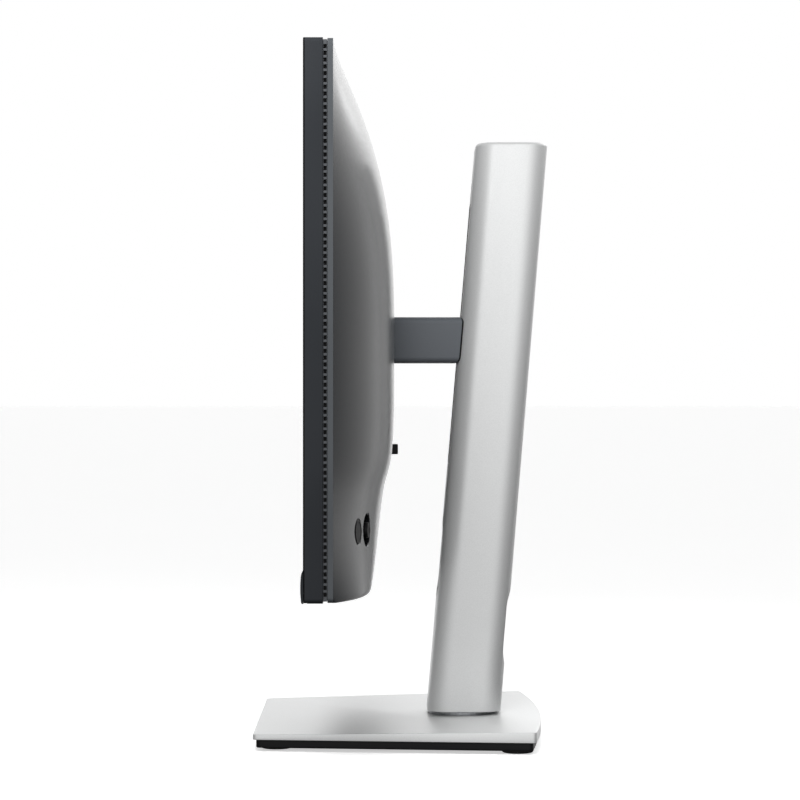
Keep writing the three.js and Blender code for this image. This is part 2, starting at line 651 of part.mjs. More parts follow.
// Where a control sits on the curved back, with its own Y pointing out of the surface.
function controlGroup(x) {
  const step = 0.5;
  const slopeX = (backY(x + step, CONTROL_Z) - backY(x - step, CONTROL_Z)) / (2 * step);
  const slopeZ = (backY(x, CONTROL_Z + step) - backY(x, CONTROL_Z - step)) / (2 * step);
  const group = new THREE.Group();
  group.position.set(x, backY(x, CONTROL_Z), CONTROL_Z);
  const normal = new THREE.Vector3(-slopeX, 1, -slopeZ).normalize();
  group.quaternion.setFromUnitVectors(Y_AXIS, normal);
  monitor.add(group);
  group.updateMatrixWorld(true);
  return group;
}

const BUTTON_RADIUS = 7.1;
const BUTTON_GAP = 0.35;
const JOYSTICK_HOLE = 9.7; // radius
const buttonPlace = controlGroup(POWER_BUTTON_X);
const joystickPlace = controlGroup(JOYSTICK_X);

function boreAt(group, radius) {
  const shape = new THREE.Shape();
  shape.absarc(0, 0, radius, 0, 2 * Math.PI, false);
  return solid(prismGeometry(shape, "y", -8, 8, 14).applyMatrix4(group.matrixWorld));
}

const [PLATE_LOW, PLATE_HIGH] = aroundPivot(PLATE_HALF);
const PLATE_GAP = 0.7;
const RELEASE_HALF_WIDTH = 8.5;
const RELEASE_HALF_HEIGHT = 3.25;
const RELEASE_GAP = 0.4;
const COVER_INSET = 0.4; // how far the cover's edge lies inside the head's outline

function addBackCover() {
  const edge = prism(headOutline(COVER_INSET), "y", -60, 0, 4);
  const outer = pillow(0, 0, LIP_Y).intersect(edge);
  const shell = cut(outer, pillow(COVER_WALL, COVER_WALL, LIP_Y - 2));
  const wallEnd = BAY_HALF_WIDTH + BAY_WALL;
  const bayWalls = prism(bayShape(BAY_WALL), "x", -wallEnd, wallEnd).intersect(outer);
  const bay = prism(bayShape(0), "x", -BAY_HALF_WIDTH, BAY_HALF_WIDTH);
  const recessHeights = [PLATE_LOW - PLATE_GAP, PLATE_HIGH + PLATE_GAP];
  const recess = midBlock(PLATE_HALF + PLATE_GAP, [-60, 0], recessHeights);
  const releaseTall = RELEASE_HALF_HEIGHT + RELEASE_GAP;
  const releaseHeights = [RELEASE_Z - releaseTall, RELEASE_Z + releaseTall];
  const releaseHole = midBlock(RELEASE_HALF_WIDTH + RELEASE_GAP, [-30, 0], releaseHeights);
  const cover = cut(
    join(shell, bayWalls),
    bay,
    recess,
    releaseHole,
    ...SOCKETS.map(socketHole),
    boreAt(buttonPlace, BUTTON_RADIUS + BUTTON_GAP),
    boreAt(joystickPlace, JOYSTICK_HOLE),
  );
  add("back_cover", cover, COVER_PLASTIC);
}

function addSockets() {
  for (const { name, x, width, backY: y1, depth, wall, mouths } of SOCKETS) {
    const left = x - width / 2;
    const body = block([left, SOCKET_FRONT_Y, SOCKET_Z], [left + width, y1, SOCKET_Z + depth]);
    const mouth = (width - wall * (mouths + 1)) / mouths;
    const cavities = Array.from({ length: mouths }, (_, i) => {
      const start = left + wall + i * (mouth + wall);
      const low = [start, SOCKET_FRONT_Y + wall, SOCKET_Z - 1];
      return block(low, [start + mouth, y1 - wall, SOCKET_Z + depth - 2]);
    });
    add(name, cut(body, ...cavities), name === "power_inlet" ? BLACK_PLASTIC : STEEL);
  }
}

// ---- Frame, chin and vent grille ----
function ring(outer, inner, [y0, y1]) {
  const middle = prism(headOutline(inner), "y", y0 - 1, y1 + 1, 3);
  return cut(prism(headOutline(outer), "y", y0, y1, 3), middle);
}

const LEDGE_DEPTH = [-56, -55.2]; // the frame's inner ledge, which the panel lies on
const LEDGE_REACH = 6.5;
const CHIN_BACK_Y = -58.1;
const CHIN_LIP_BACK_Y = -56.2;
const GRILLE_OUTER = 1.3; // how far inside the head's outline
const GRILLE_INNER = 3.2;
const LIGHT_LOW = [245.3, -59.3, 105.6];
const LIGHT_HIGH = [251.7, -56.5, 106.8];

function chinSection() {
  const shape = new THREE.Shape();
  shape.moveTo(CHIN_BACK_Y, CHIN_TOP);
  shape.lineTo(FRONT_Y - 0.1, CHIN_TOP);
  shape.lineTo(CHIN_FRONT_Y + 0.35, CHIN_TOP - 3.2);
  shape.quadraticCurveTo(CHIN_FRONT_Y - 0.4, 111, CHIN_FRONT_Y + 0.5, HEAD_BOTTOM + 0.8);
  shape.lineTo(CHIN_FRONT_Y + 1.3, HEAD_BOTTOM);
  shape.lineTo(CHIN_BACK_Y, HEAD_BOTTOM);
  return shape;
}

function addFrame() {
  const walls = ring(0, FRAME_WALL, [FRONT_Y, FRAME_BACK_Y]);
  const ledge = ring(FRAME_WALL - 0.2, LEDGE_REACH, LEDGE_DEPTH);
  const chinRoom = block([-FAR, -FAR, 0], [FAR, CHIN_BACK_Y + GAP, CHIN_TOP + GAP]);
  const lipRoomDepth = [-FAR, LEDGE_DEPTH[0] + 0.1];
  const lipRoom = midBlock(HEAD_HALF_WIDTH - FRAME_WALL, lipRoomDepth, [0, HEAD_BOTTOM + 2]);
  add("middle_frame", cut(join(walls, ledge), chinRoom, lipRoom), DARK_PLASTIC);

  const plate = prism(chinSection(), "x", -HEAD_HALF_WIDTH, HEAD_HALF_WIDTH);
  const lipDepth = [CHIN_BACK_Y - 0.1, CHIN_LIP_BACK_Y];
  const lip = midBlock(HEAD_HALF_WIDTH - 2, lipDepth, [HEAD_BOTTOM, HEAD_BOTTOM + 1.7]);
  const holeLow = [LIGHT_LOW[0] - GAP, -FAR, LIGHT_LOW[2] - GAP];
  const holeHigh = [LIGHT_HIGH[0] + GAP, 0, LIGHT_HIGH[2] + GAP];
  add("chin_cover", cut(join(plate, lip), block(holeLow, holeHigh)), DARK_PLASTIC);
  add("power_light", block(LIGHT_LOW, LIGHT_HIGH), OPTICS);

  const grilleDepth = [FRAME_BACK_Y + 0.2, LIP_Y - 0.2];
  add("vent_grille", ring(GRILLE_OUTER, GRILLE_INNER, grilleDepth), BLACK_PLASTIC);
}

// ---- Screen: half width, front and back, bottom and top of each layer ----
const PANEL = [266.6, [-57.6, -56.2], [109, 422.6]];
const DIFFUSER = [264, [-54.9, -54.1], [112, 420]];
const LIGHT_GUIDE = [264, [-53.9, -51.9], [112, 420]];
const LED_STRIP = [262, [-54.6, -52.6], [108.3, 111.6]];
const TRAY_HALF = 265.5;
const TRAY_FRONT = -54.7;
const TRAY_BACK = -50.8;
const TRAY_BOTTOM = 106.5;
const TRAY_TOP = 422;
const TRAY_SHEET = 0.8;

function addScreen() {
  add("lcd_panel", midBlock(...PANEL), GLASS);
  add("diffuser_sheets", midBlock(...DIFFUSER), OPTICS);
  add("light_guide", midBlock(...LIGHT_GUIDE), OPTICS);
  add("led_strip", midBlock(...LED_STRIP), NYLON);
  const tray = midBlock(TRAY_HALF, [TRAY_FRONT, TRAY_BACK], [TRAY_BOTTOM, TRAY_TOP]);
  const roomHeights = [TRAY_BOTTOM + TRAY_SHEET, TRAY_TOP - TRAY_SHEET];
  const room = midBlock(TRAY_HALF - TRAY_SHEET, [-60, TRAY_BACK - TRAY_SHEET], roomHeights);
  add("backlight_tray", cut(tray, room, ...chassisScrewHoles()), STEEL);
}

// ---- Chassis, boards, mount plate ----
const CHASSIS_SCREWS = {
  lower_left: [-132, 208],
  lower_right: [132, 208],
  upper_left: [-132, 305],
  upper_right: [132, 305],
};
const FLANGE_BACK = -49.3; // the chassis's flanges lie on the backlight tray
const FLANGE_FRONT = -50.5;
const CHASSIS_BACK = -23;
const SHEET = 1.2;

function chassisScrewHoles() {
  return Object.values(CHASSIS_SCREWS).map((place) => rod(SCREW_HOLE, "y", -60, -40, place, 12));
}

function addChassis() {
  const inner = 126;
  const outer = inner + SHEET;
  const flangeEnd = 138;
  const hat = outline([
    [-flangeEnd, FLANGE_FRONT],
    [-inner, FLANGE_FRONT],
    [-inner, CHASSIS_BACK - SHEET],
    [inner, CHASSIS_BACK - SHEET],
    [inner, FLANGE_FRONT],
    [flangeEnd, FLANGE_FRONT],
    [flangeEnd, FLANGE_BACK],
    [outer, FLANGE_BACK],
    [outer, CHASSIS_BACK],
    [-outer, CHASSIS_BACK],
    [-outer, FLANGE_BACK],
    [-flangeEnd, FLANGE_BACK],
  ]);
  add("rear_chassis", cut(prism(hat, "z", 193, 320), ...chassisScrewHoles()), STEEL);
  const headFront = FLANGE_BACK + 0.2;
  for (const [name, place] of Object.entries(CHASSIS_SCREWS)) {
    const head = rod(SCREW_HEAD, "y", headFront, headFront + 1.5, place, 12);
    const shank = rod(SCREW_SHANK, "y", headFront - 2.4, headFront + 0.1, place, 12);
    add("chassis_screw_" + name, join(head, shank), STEEL);
  }
}

const BOARD_Y = [-39.3, -37.8];
const BOARD_BOTTOM = 166.3;
const ON_BOARD_Y = BOARD_Y[1] - 0.2;
// What stands on a board: its corners in X and Z, and how far back it reaches.
const MAIN_CHIPS = [
  { from: [-20, 190], to: [4, 214], back: -35 },
  { from: [30, 196], to: [42, 208], back: -36 },
  { from: [70, 200], to: [92, 214], back: -34.5 },
];
const POWER_BLOCKS = [
  { from: [-112, 200], to: [-86, 228], back: -27 },
  { from: [-116, 240], to: [-90, 254], back: -30 },
];
const CAPACITORS = [
  { radius: 7.5, place: [-72, 210], back: -27 },
  { radius: 6, place: [-70, 232], back: -27 },
];

// The room that a board leaves round a socket.
function socketRoom({ x, width, backY: y1, depth }) {
  const half = width / 2 + 0.6;
  const low = [x - half, SOCKET_FRONT_Y - 0.8, BAY_TOP - 3.4];
  return block(low, [x + half, y1 + 0.6, SOCKET_Z + depth + 0.4]);
}

function boardPlate([x0, x1], top) {
  return block([x0, BOARD_Y[0], BOARD_BOTTOM], [x1, BOARD_Y[1], top]);
}

function onBoard({ from: [x0, z0], to: [x1, z1], back }) {
  return block([x0, ON_BOARD_Y, z0], [x1, back, z1]);
}

function addBoards() {
  const [powerInlet, ...signalSockets] = SOCKETS;
  const main = join(boardPlate([-52, 122], 234), ...MAIN_CHIPS.map(onBoard));
  add("main_board", cut(main, ...signalSockets.map(socketRoom)), BOARD);

  const cans = CAPACITORS.map(({ radius, place, back }) => {
    return rod(radius, "y", ON_BOARD_Y, back, place, 16);
  });
  const power = join(boardPlate([-122, -58], 262), ...POWER_BLOCKS.map(onBoard), ...cans);
  add("power_board", cut(power, socketRoom(powerInlet)), BOARD);
  add("driver_board", midBlock(110, [-50.2, -49], [110, 126]), BOARD);
}

const PLATE_DEPTH = [-11.2, -8.7];
const PLATE_CORNER = 6;
const DISH_WALL = 2;
const DISH_FRONT = -22;
const DISH_FLOOR = -16.9;
const THROAT_RADIUS = 24;
const WEB_HALF = 10;
const WEB_FRONT = -16.5;
const WEB_HEIGHTS = [203.5, 206]; // the web hangs from the dish, and the tongue from the web
const TONGUE_HEIGHTS = [197.2, 205];
const TONGUE_BACK = -14.4;

function addMountPlate() {
  const axis = [0, PIVOT_Z];
  const face = roundedRect(-PLATE_HALF, PLATE_HALF, PLATE_LOW, PLATE_HIGH, PLATE_CORNER);
  const plate = prism(face, "y", ...PLATE_DEPTH, 5);
  const cup = rod(DISH_RADIUS + DISH_WALL, "y", DISH_FRONT, PLATE_DEPTH[0] + 0.2, axis, 36);
  const dish = rod(DISH_RADIUS, "y", DISH_FLOOR, 0, axis, 36);
  const throat = rod(THROAT_RADIUS, "y", -30, 0, axis, 36);
  const hubRoom = rod(HUB_RADIUS + 0.5, "y", -30, KNUCKLE_FRONT, axis, 36);
  const web = midBlock(WEB_HALF, [WEB_FRONT, PLATE_DEPTH[0] + 0.1], WEB_HEIGHTS);
  const tongue = midBlock(WEB_HALF, [WEB_FRONT, TONGUE_BACK], TONGUE_HEIGHTS);
  add("mount_plate", cut(join(plate, cup, web, tongue), dish, throat, hubRoom), DARK_PLASTIC);
}

// ---- Buttons, joystick and release: depths are along each control's own Y ----
const CAP_DEPTH = [-4.5, 0.3];
const CAP_FLANGE = { wider: 1.3, depth: [-4.7, -3] };
const KNOB = { radius: 4.7, depth: [-1.8, 1.2] };
const STEM = { radius: 2, depth: [-9.9, -1.7] };
const SKIRT = { radius: 10.5, depth: [-6.4, -5.2] };
const GIMBAL = { radius: 6, bore: 4, depth: [-10, -8] };
const PLUNGER = { half: 5, depth: [-14.6, -11.4] };
const SWITCH = { half: 7, depth: [-20, -15.8] };

function addControls() {
  const middle = [0, 0];
  const cap = rod(BUTTON_RADIUS, "y", ...CAP_DEPTH, middle, 28);
  const flange = rod(BUTTON_RADIUS + CAP_FLANGE.wider, "y", ...CAP_FLANGE.depth, middle, 28);
  add("power_button", join(cap, flange), BLACK_PLASTIC, buttonPlace);

  const knob = rod(KNOB.radius, "y", ...KNOB.depth, middle, 24);
  const stem = rod(STEM.radius, "y", ...STEM.depth, middle, 12);
  const skirt = rod(SKIRT.radius, "y", ...SKIRT.depth, middle, 28);
  add("joystick_knob", join(knob, stem, skirt), BLACK_PLASTIC, joystickPlace);
  const gimbal = rod(GIMBAL.radius, "y", ...GIMBAL.depth, middle, 20);
  const gimbalBore = rod(GIMBAL.bore, "y", -20, 0, middle, 16);
  add("joystick_gimbal", cut(gimbal, gimbalBore), NYLON, joystickPlace);
  for (const [name, { half, depth }, material] of [
    ["joystick_plunger", PLUNGER, NYLON],
    ["joystick_switch", SWITCH, BLACK_PLASTIC],
  ]) {
    add(name, midBlock(half, depth, [-half, half]), material, joystickPlace);
  }
}

const RELEASE_DEPTH = [-12, -3.8];
const RELEASE_CORNER = 1.2;
const RELEASE_FLANGE = [10, [-13, -11.5], [181, 189.4]]; // half width, depth, heights
const LATCH = [12, [-14, -12.1], [194, 199.6]];

function addRelease() {
  const [low, high] = [RELEASE_Z - RELEASE_HALF_HEIGHT, RELEASE_Z + RELEASE_HALF_HEIGHT];
  const face = roundedRect(-RELEASE_HALF_WIDTH, RELEASE_HALF_WIDTH, low, high, RELEASE_CORNER);
  const tab = prism(face, "y", ...RELEASE_DEPTH, 3);
  add("release_button", join(tab, midBlock(...RELEASE_FLANGE)), BLACK_PLASTIC);
  add("release_latch", midBlock(...LATCH), STEEL);
}

addBase();
addTurntable();
addColumnShell();
addMast();
addCarriage();
addArm();
addTiltHead();
addMountPlate();
addChassis();
addBoards();
addSockets();
addScreen();
addFrame();
addBackCover();
addControls();
addRelease();

export default monitor;
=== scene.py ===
import json
import math

import bmesh
import bpy
from mathutils import Matrix, Vector


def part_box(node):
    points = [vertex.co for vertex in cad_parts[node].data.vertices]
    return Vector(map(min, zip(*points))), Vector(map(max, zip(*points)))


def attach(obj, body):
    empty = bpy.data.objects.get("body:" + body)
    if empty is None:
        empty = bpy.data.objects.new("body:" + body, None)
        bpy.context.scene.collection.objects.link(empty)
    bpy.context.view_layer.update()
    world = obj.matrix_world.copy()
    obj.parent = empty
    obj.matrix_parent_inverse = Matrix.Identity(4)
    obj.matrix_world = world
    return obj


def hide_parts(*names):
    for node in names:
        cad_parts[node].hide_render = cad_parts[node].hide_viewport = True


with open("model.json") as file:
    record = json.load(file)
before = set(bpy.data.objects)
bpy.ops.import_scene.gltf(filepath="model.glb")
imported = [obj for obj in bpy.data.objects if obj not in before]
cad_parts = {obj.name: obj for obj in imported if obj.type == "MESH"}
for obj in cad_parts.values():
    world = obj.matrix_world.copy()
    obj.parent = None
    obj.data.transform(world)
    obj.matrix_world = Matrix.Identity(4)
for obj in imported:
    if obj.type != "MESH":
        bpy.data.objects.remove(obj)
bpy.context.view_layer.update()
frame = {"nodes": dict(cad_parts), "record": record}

# The looks of a desktop computer monitor on a lifting, tilting and swivelling stand, around its frame.
# Sizes are in millimetres; mesh_object() and curved_solid() turn them into Blender's metres.
# +X is to the right as the screen is faced, +Y to the back, +Z up.
METRES = 0.001


def corners(node):
    """A CAD node's lowest and highest corners, in millimetres."""
    low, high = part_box(node)
    return low / METRES, high / METRES


# ---- Camera ----
CAMERA_PLACE = (1.989, -0.00836, 0.22736)  # metres
CAMERA_LENS = 136.6
CAMERA_SHIFT = (0.01125, -0.01875)


def add_camera():
    data = bpy.data.cameras.new("camera")
    data.lens = CAMERA_LENS
    data.sensor_width = 36
    data.shift_x, data.shift_y = CAMERA_SHIFT
    camera = bpy.data.objects.new("camera", data)
    camera.location = CAMERA_PLACE
    camera.rotation_euler = (math.radians(90), 0, math.radians(90))
    bpy.context.scene.collection.objects.link(camera)
    bpy.context.scene.camera = camera


add_camera()

# ---- Sizes that come from the frame ----
frame_low, frame_high = corners("middle_frame")
chin_low, chin_high = corners("chin_cover")
cover_low, cover_high = corners("back_cover")
column_low, column_high = corners("column_shell")
base_low, base_high = corners("base_plate")
underside_low, underside_high = corners("base_underside")
arm_low, arm_high = corners("arm_cover")
plate_high = corners("mount_plate")[1]
hub_low, hub_high = corners("pivot_hub")
grille_low, grille_high = corners("vent_grille")

HEAD_HALF = frame_high.x
HEAD_BOTTOM = frame_low.z
HEAD_TOP = frame_high.z
HEAD_MIDDLE = (HEAD_BOTTOM + HEAD_TOP) / 2
HEAD_HALF_TALL = (HEAD_TOP - HEAD_BOTTOM) / 2
HEAD_CORNER = 3.0
FRAME_FRONT = frame_low.y
FRAME_BACK = frame_high.y
LIP_FRONT = cover_low.y
PLATEAU = cover_high.y
EDGE_DROP = 34.8  # from the flat middle of the back down to its edge
FLAT_HALF = 130.0  # beyond this the back falls away to the sides
FLAT_HALF_AT_BOTTOM = 195.0
FULLER_BELOW = 150.0
FULLNESS_POWER = 1.5
COVER_WALL = 2.4
PIVOT_Z = (hub_low.z + hub_high.z) / 2
PIVOT = (0, PIVOT_Z)

LEAN = math.radians(4.815)
COLUMN_HALF_WIDTH = column_high.x
COLUMN_BOTTOM = column_low.z
COLUMN_TOP = column_high.z
COLUMN_RISE = COLUMN_TOP - COLUMN_BOTTOM
COLUMN_HALF_DEPTH = (column_high.y - column_low.y - COLUMN_RISE * math.tan(LEAN)) / 2
COLUMN_FOOT_Y = column_low.y + COLUMN_HALF_DEPTH - COLUMN_BOTTOM * math.tan(LEAN)
COLUMN_CORNER = (13.0, 14.0)  # an elliptical corner's size along X and Y
COLUMN_WALL = 2.2
COLUMN_TAPER = 0.6  # how much less the column's half depth is at its top


# ---- Outlines: lists of (a, b) points, anticlockwise ----
def arc(centre, radius, start, end, steps):
    """Points on a round or elliptical arc, between two angles in degrees."""
    radius_a, radius_b = radius if isinstance(radius, tuple) else (radius, radius)
    points = []
    for i in range(steps + 1):
        angle = math.radians(start + (end - start) * i / steps)
        points.append((centre[0] + radius_a * math.cos(angle), centre[1] + radius_b * math.sin(angle)))
    return points


def rounded_rect(a0, a1, b0, b1, radius, steps=6):
    ra, rb = radius if isinstance(radius, tuple) else (radius, radius)
    return (
        arc((a1 - ra, b0 + rb), (ra, rb), -90, 0, steps)
        + arc((a1 - ra, b1 - rb), (ra, rb), 0, 90, steps)
        + arc((a0 + ra, b1 - rb), (ra, rb), 90, 180, steps)
        + arc((a0 + ra, b0 + rb), (ra, rb), 180, 270, steps)
    )


def circle(radius, centre=(0, 0), steps=48):
    return arc(centre, radius, 0, 360 - 360 / steps, steps - 1)


def inset(outline, distance):
    """The outline moved inwards by a small distance."""
    if distance == 0:
        return list(outline)
    moved = []
    count = len(outline)
    for i, point in enumerate(outline):
        here = Vector(point)
        before = here - Vector(outline[i - 1])
        after = Vector(outline[(i + 1) % count]) - here
        before.normalize()
        after.normalize()
        inward = Vector((-before.y - after.y, before.x + after.x))
        inward.normalize()
        straightness = max(0.5, inward.dot(Vector((-after.y, after.x))))
        moved.append(tuple(here + inward * (distance / straightness)))
    return moved


def bezier(start, control, end, steps):
    """Points on a quadratic curve, without its start."""
    points = []
    for i in range(1, steps + 1):
        t = i / steps
        points.append(
            tuple(
                (1 - t) ** 2 * s + 2 * t * (1 - t) * c + t**2 * e
                for s, c, e in zip(start, control, end)
            )
        )
    return points


# ---- Meshes ----
ALONG = {
    "x": lambda a, b, station: (station, a, b),
    "y": lambda a, b, station: (a, station, b),
    "z": lambda a, b, station: (a, b, station),
}


def mesh_object(rings, caps=True):
    """A closed skin through rings of equally many points: capped at both ends, or joined end to end."""
    mesh = bmesh.new()
    loops = [[mesh.verts.new(Vector(point) * METRES) for point in ring] for ring in rings]
    pairs = list(zip(loops, loops[1:]))
    if not caps:
        pairs.append((loops[-1], loops[0]))
    for one, other in pairs:
        for i in range(len(one)):
            mesh.faces.new((one[i - 1], one[i], other[i], other[i - 1]))
    if caps:
        mesh.faces.new(loops[0])
        mesh.faces.new(reversed(loops[-1]))
    return object_from(mesh)


def object_from(mesh, merge=1e-7):
    bmesh.ops.remove_doubles(mesh, verts=mesh.verts, dist=merge)
    bmesh.ops.recalc_face_normals(mesh, faces=mesh.faces)
    data = bpy.data.meshes.new("shape")
    mesh.to_mesh(data)
    mesh.free()
    made = bpy.data.objects.new("shape", data)
    bpy.context.scene.collection.objects.link(made)
    return made


EDGE_STEPS = 3


def rounded_ends(low, high, edge_low, edge_high):
    """Stations from low to high with rounded edges, as (station, inset) pairs."""
    stations = []
    for i in range(EDGE_STEPS + 1 if edge_low else 1):
        angle = math.pi / 2 * i / EDGE_STEPS
        stations.append((low + edge_low * (1 - math.cos(angle)), edge_low * (1 - math.sin(angle))))
    for i in range(EDGE_STEPS + 1 if edge_high else 1):
        angle = math.pi / 2 * (1 - i / EDGE_STEPS) if edge_high else 0
        stations.append((high - edge_high * (1 - math.cos(angle)), edge_high * (1 - math.sin(angle))))
    return stations


def prism(outline, axis, low, high, edge=0.0, edge_high=None):
    """An outline drawn out along an axis, with its two rims rounded."""
    edges = (edge, edge if edge_high is None else edge_high)
    place = ALONG[axis]
    stations = rounded_ends(low, high, *edges)
    return mesh_object([[place(a, b, at) for a, b in inset(outline, step)] for at, step in stations])


ON_AXIS = 1e-3  # the least radius of a ring


def turned(profile, axis, centre=(0, 0), steps=48):
    """A profile of (radius, station) points turned round an axis; it starts and ends on the axis."""
    place = ALONG[axis]
    rings = [
        [place(centre[0] + a, centre[1] + b, at) for a, b in circle(max(radius, ON_AXIS), steps=steps)]
        for radius, at in profile
    ]
    return mesh_object(rings)


def bake(target):
    """Applies a piece's modifiers to its mesh."""
    graph = bpy.context.evaluated_depsgraph_get()
    graph.update()
    data = bpy.data.meshes.new_from_object(target.evaluated_get(graph))
    old = target.data
    target.modifiers.clear()
    target.data = data
    bpy.data.meshes.remove(old)
    return target


def boolean(target, operation, tools):
    for tool in tools:
        modifier = target.modifiers.new("boolean", "BOOLEAN")
        modifier.operation = operation
        modifier.solver = "EXACT"
        modifier.object = tool
    bake(target)
    for tool in tools:
        bpy.data.objects.remove(tool)
    return target


def cut(target, *tools):
    return boolean(target, "DIFFERENCE", tools)


def join(target, *others):
    return boolean(target, "UNION", others)


def soften(target, width, segments=2, angle=40):
    """Rounds the edges that are sharper than an angle in degrees."""
    modifier = target.modifiers.new("soften", "BEVEL")
    modifier.width = width * METRES
    modifier.segments = segments
    modifier.limit_method = "ANGLE"
    modifier.angle_limit = math.radians(angle)
    modifier.miter_outer = "MITER_ARC"
    return bake(target)


def together(*parts):
    """Several closed bodies as one object."""
    mesh = bmesh.new()
    for part in parts:
        part.data.transform(part.matrix_world)
        mesh.from_mesh(part.data)
        bpy.data.objects.remove(part)
    data = bpy.data.meshes.new("shape")
    mesh.to_mesh(data)
    mesh.free()
    made = bpy.data.objects.new("shape", data)
    bpy.context.scene.collection.objects.link(made)
    return made


def piece(name, shape, materials, body, nodes=(), smooth=32):
    """Names a shape, gives it its look and its body, and stands it in for CAD nodes."""
    shape.name = name
    shape.data.name = name
    shape.data.shade_smooth()
    shape.data.set_sharp_from_angle(angle=math.radians(smooth))
    shape.data.materials.clear()
    for material in materials if isinstance(materials, (list, tuple)) else [materials]:
        shape.data.materials.append(material)
    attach(shape, body)
    if nodes:
        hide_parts(*nodes)
    return shape


# ---- Materials ----
def linear(red, green, blue):
    """A colour given as the 0-255 numbers of a screen, as linear light."""
    parts = [value / 255 for value in (red, green, blue)]
    return tuple(v / 12.92 if v <= 0.04045 else ((v + 0.055) / 1.055) ** 2.4 for v in parts) + (1.0,)


class Look:
    """A procedural material: one shader, with helpers for grain, bump and slow changes of colour."""

    def __init__(self, name, roughness, metallic=0.0, **sockets):
        self.material = bpy.data.materials.new(name)
        self.material.use_nodes = True
        self.nodes = self.material.node_tree.nodes
        self.links = self.material.node_tree.links
        self.shader = self.nodes["Principled BSDF"]
        self.shader.inputs["Roughness"].default_value = roughness
        self.shader.inputs["Metallic"].default_value = metallic
        for socket, value in sockets.items():
            self.shader.inputs[socket.replace("_", " ")].default_value = value
        self.place = self.nodes.new("ShaderNodeTexCoord").outputs["Object"]

    def noise(self, per_metre, detail=3.0, stretch=(1, 1, 1)):
        mapping = self.nodes.new("ShaderNodeMapping")
        mapping.inputs["Scale"].default_value = stretch
        self.links.new(self.place, mapping.inputs["Vector"])
        texture = self.nodes.new("ShaderNodeTexNoise")
        texture.inputs["Scale"].default_value = per_metre
        texture.inputs["Detail"].default_value = detail
        self.links.new(mapping.outputs["Vector"], texture.inputs["Vector"])
        return texture.outputs["Fac"]

    def cells(self, per_metre):
        texture = self.nodes.new("ShaderNodeTexVoronoi")
        texture.inputs["Scale"].default_value = per_metre
        self.links.new(self.place, texture.inputs["Vector"])
        return texture.outputs["Distance"]

    def colour(self, source, dark, light, low=0.35, high=0.65):
        ramp = self.nodes.new("ShaderNodeValToRGB")
        ramp.color_ramp.elements[0].position = low
        ramp.color_ramp.elements[0].color = dark
        ramp.color_ramp.elements[1].position = high
        ramp.color_ramp.elements[1].color = light
        self.links.new(source, ramp.inputs["Fac"])
        self.links.new(ramp.outputs["Color"], self.shader.inputs["Base Color"])
        return self

    def spread(self, source, socket, low, high):
        """Varies a shader value over the surface."""
        reach = self.nodes.new("ShaderNodeMapRange")
        reach.inputs["From Min"].default_value = 0.3
        reach.inputs["From Max"].default_value = 0.7
        reach.inputs["To Min"].default_value = low
        reach.inputs["To Max"].default_value = high
        self.links.new(source, reach.inputs["Value"])
        self.links.new(reach.outputs["Result"], self.shader.inputs[socket])
        return self

    def bump(self, source, height, strength):
        node = self.nodes.new("ShaderNodeBump")
        node.inputs["Distance"].default_value = height * METRES
        node.inputs["Strength"].default_value = strength
        self.links.new(source, node.inputs["Height"])
        self.links.new(node.outputs["Normal"], self.shader.inputs["Normal"])
        return self


def moulded(name, dark, light, roughness, grain=1400, depth=0.03, **sockets):
    """Spark-eroded moulded plastic: a fine grain, and a slow change of shade across a panel."""
    look = Look(name, roughness, **sockets)
    look.colour(look.noise(9), linear(*dark), linear(*light))
    fine = look.noise(grain, detail=4)
    look.spread(fine, "Roughness", roughness - 0.05, roughness + 0.05)
    look.bump(fine, depth, 0.5)
    return look.material


def metal(name, dark, light, roughness, grain=900, stretch=(1, 1, 1), depth=0.01):
    """Bare or plated metal with fine drawing marks."""
    look = Look(name, roughness, metallic=1.0)
    marks = look.noise(grain, detail=5, stretch=stretch)
    look.colour(marks, linear(*dark), linear(*light))
    look.spread(marks, "Roughness", roughness - 0.06, roughness + 0.08)
    look.bump(marks, depth, 0.4)
    return look.material


def silver_paint():
    """Satin silver paint: tiny metal flakes under a thin clear coat."""
    look = Look("silver_paint", 0.42, metallic=0.5)
    flakes = look.noise(2600, detail=2)
    look.colour(flakes, linear(216, 217, 217), linear(226, 227, 227), 0.3, 0.7)
    look.spread(look.noise(700, detail=3), "Roughness", 0.37, 0.45)
    look.bump(flakes, 0.012, 0.35)
    return look.material


def screen_face():
    """The anti-glare front of the screen, switched off."""
    look = Look("screen_face", 0.3, Specular_IOR_Level=0.5, Coat_Weight=0.15, Coat_Roughness=0.35)
    look.colour(look.noise(6), linear(15, 16, 19), linear(19, 20, 23))
    look.bump(look.noise(3000, detail=2), 0.004, 0.5)
    return look.material


def circuit_board():
    """Green solder mask with copper traces faintly under it."""
    look = Look("circuit_board", 0.45)
    look.colour(look.cells(160), linear(24, 70, 44), linear(36, 92, 58), 0.05, 0.2)
    look.bump(look.cells(160), 0.03, 0.3)
    return look.material


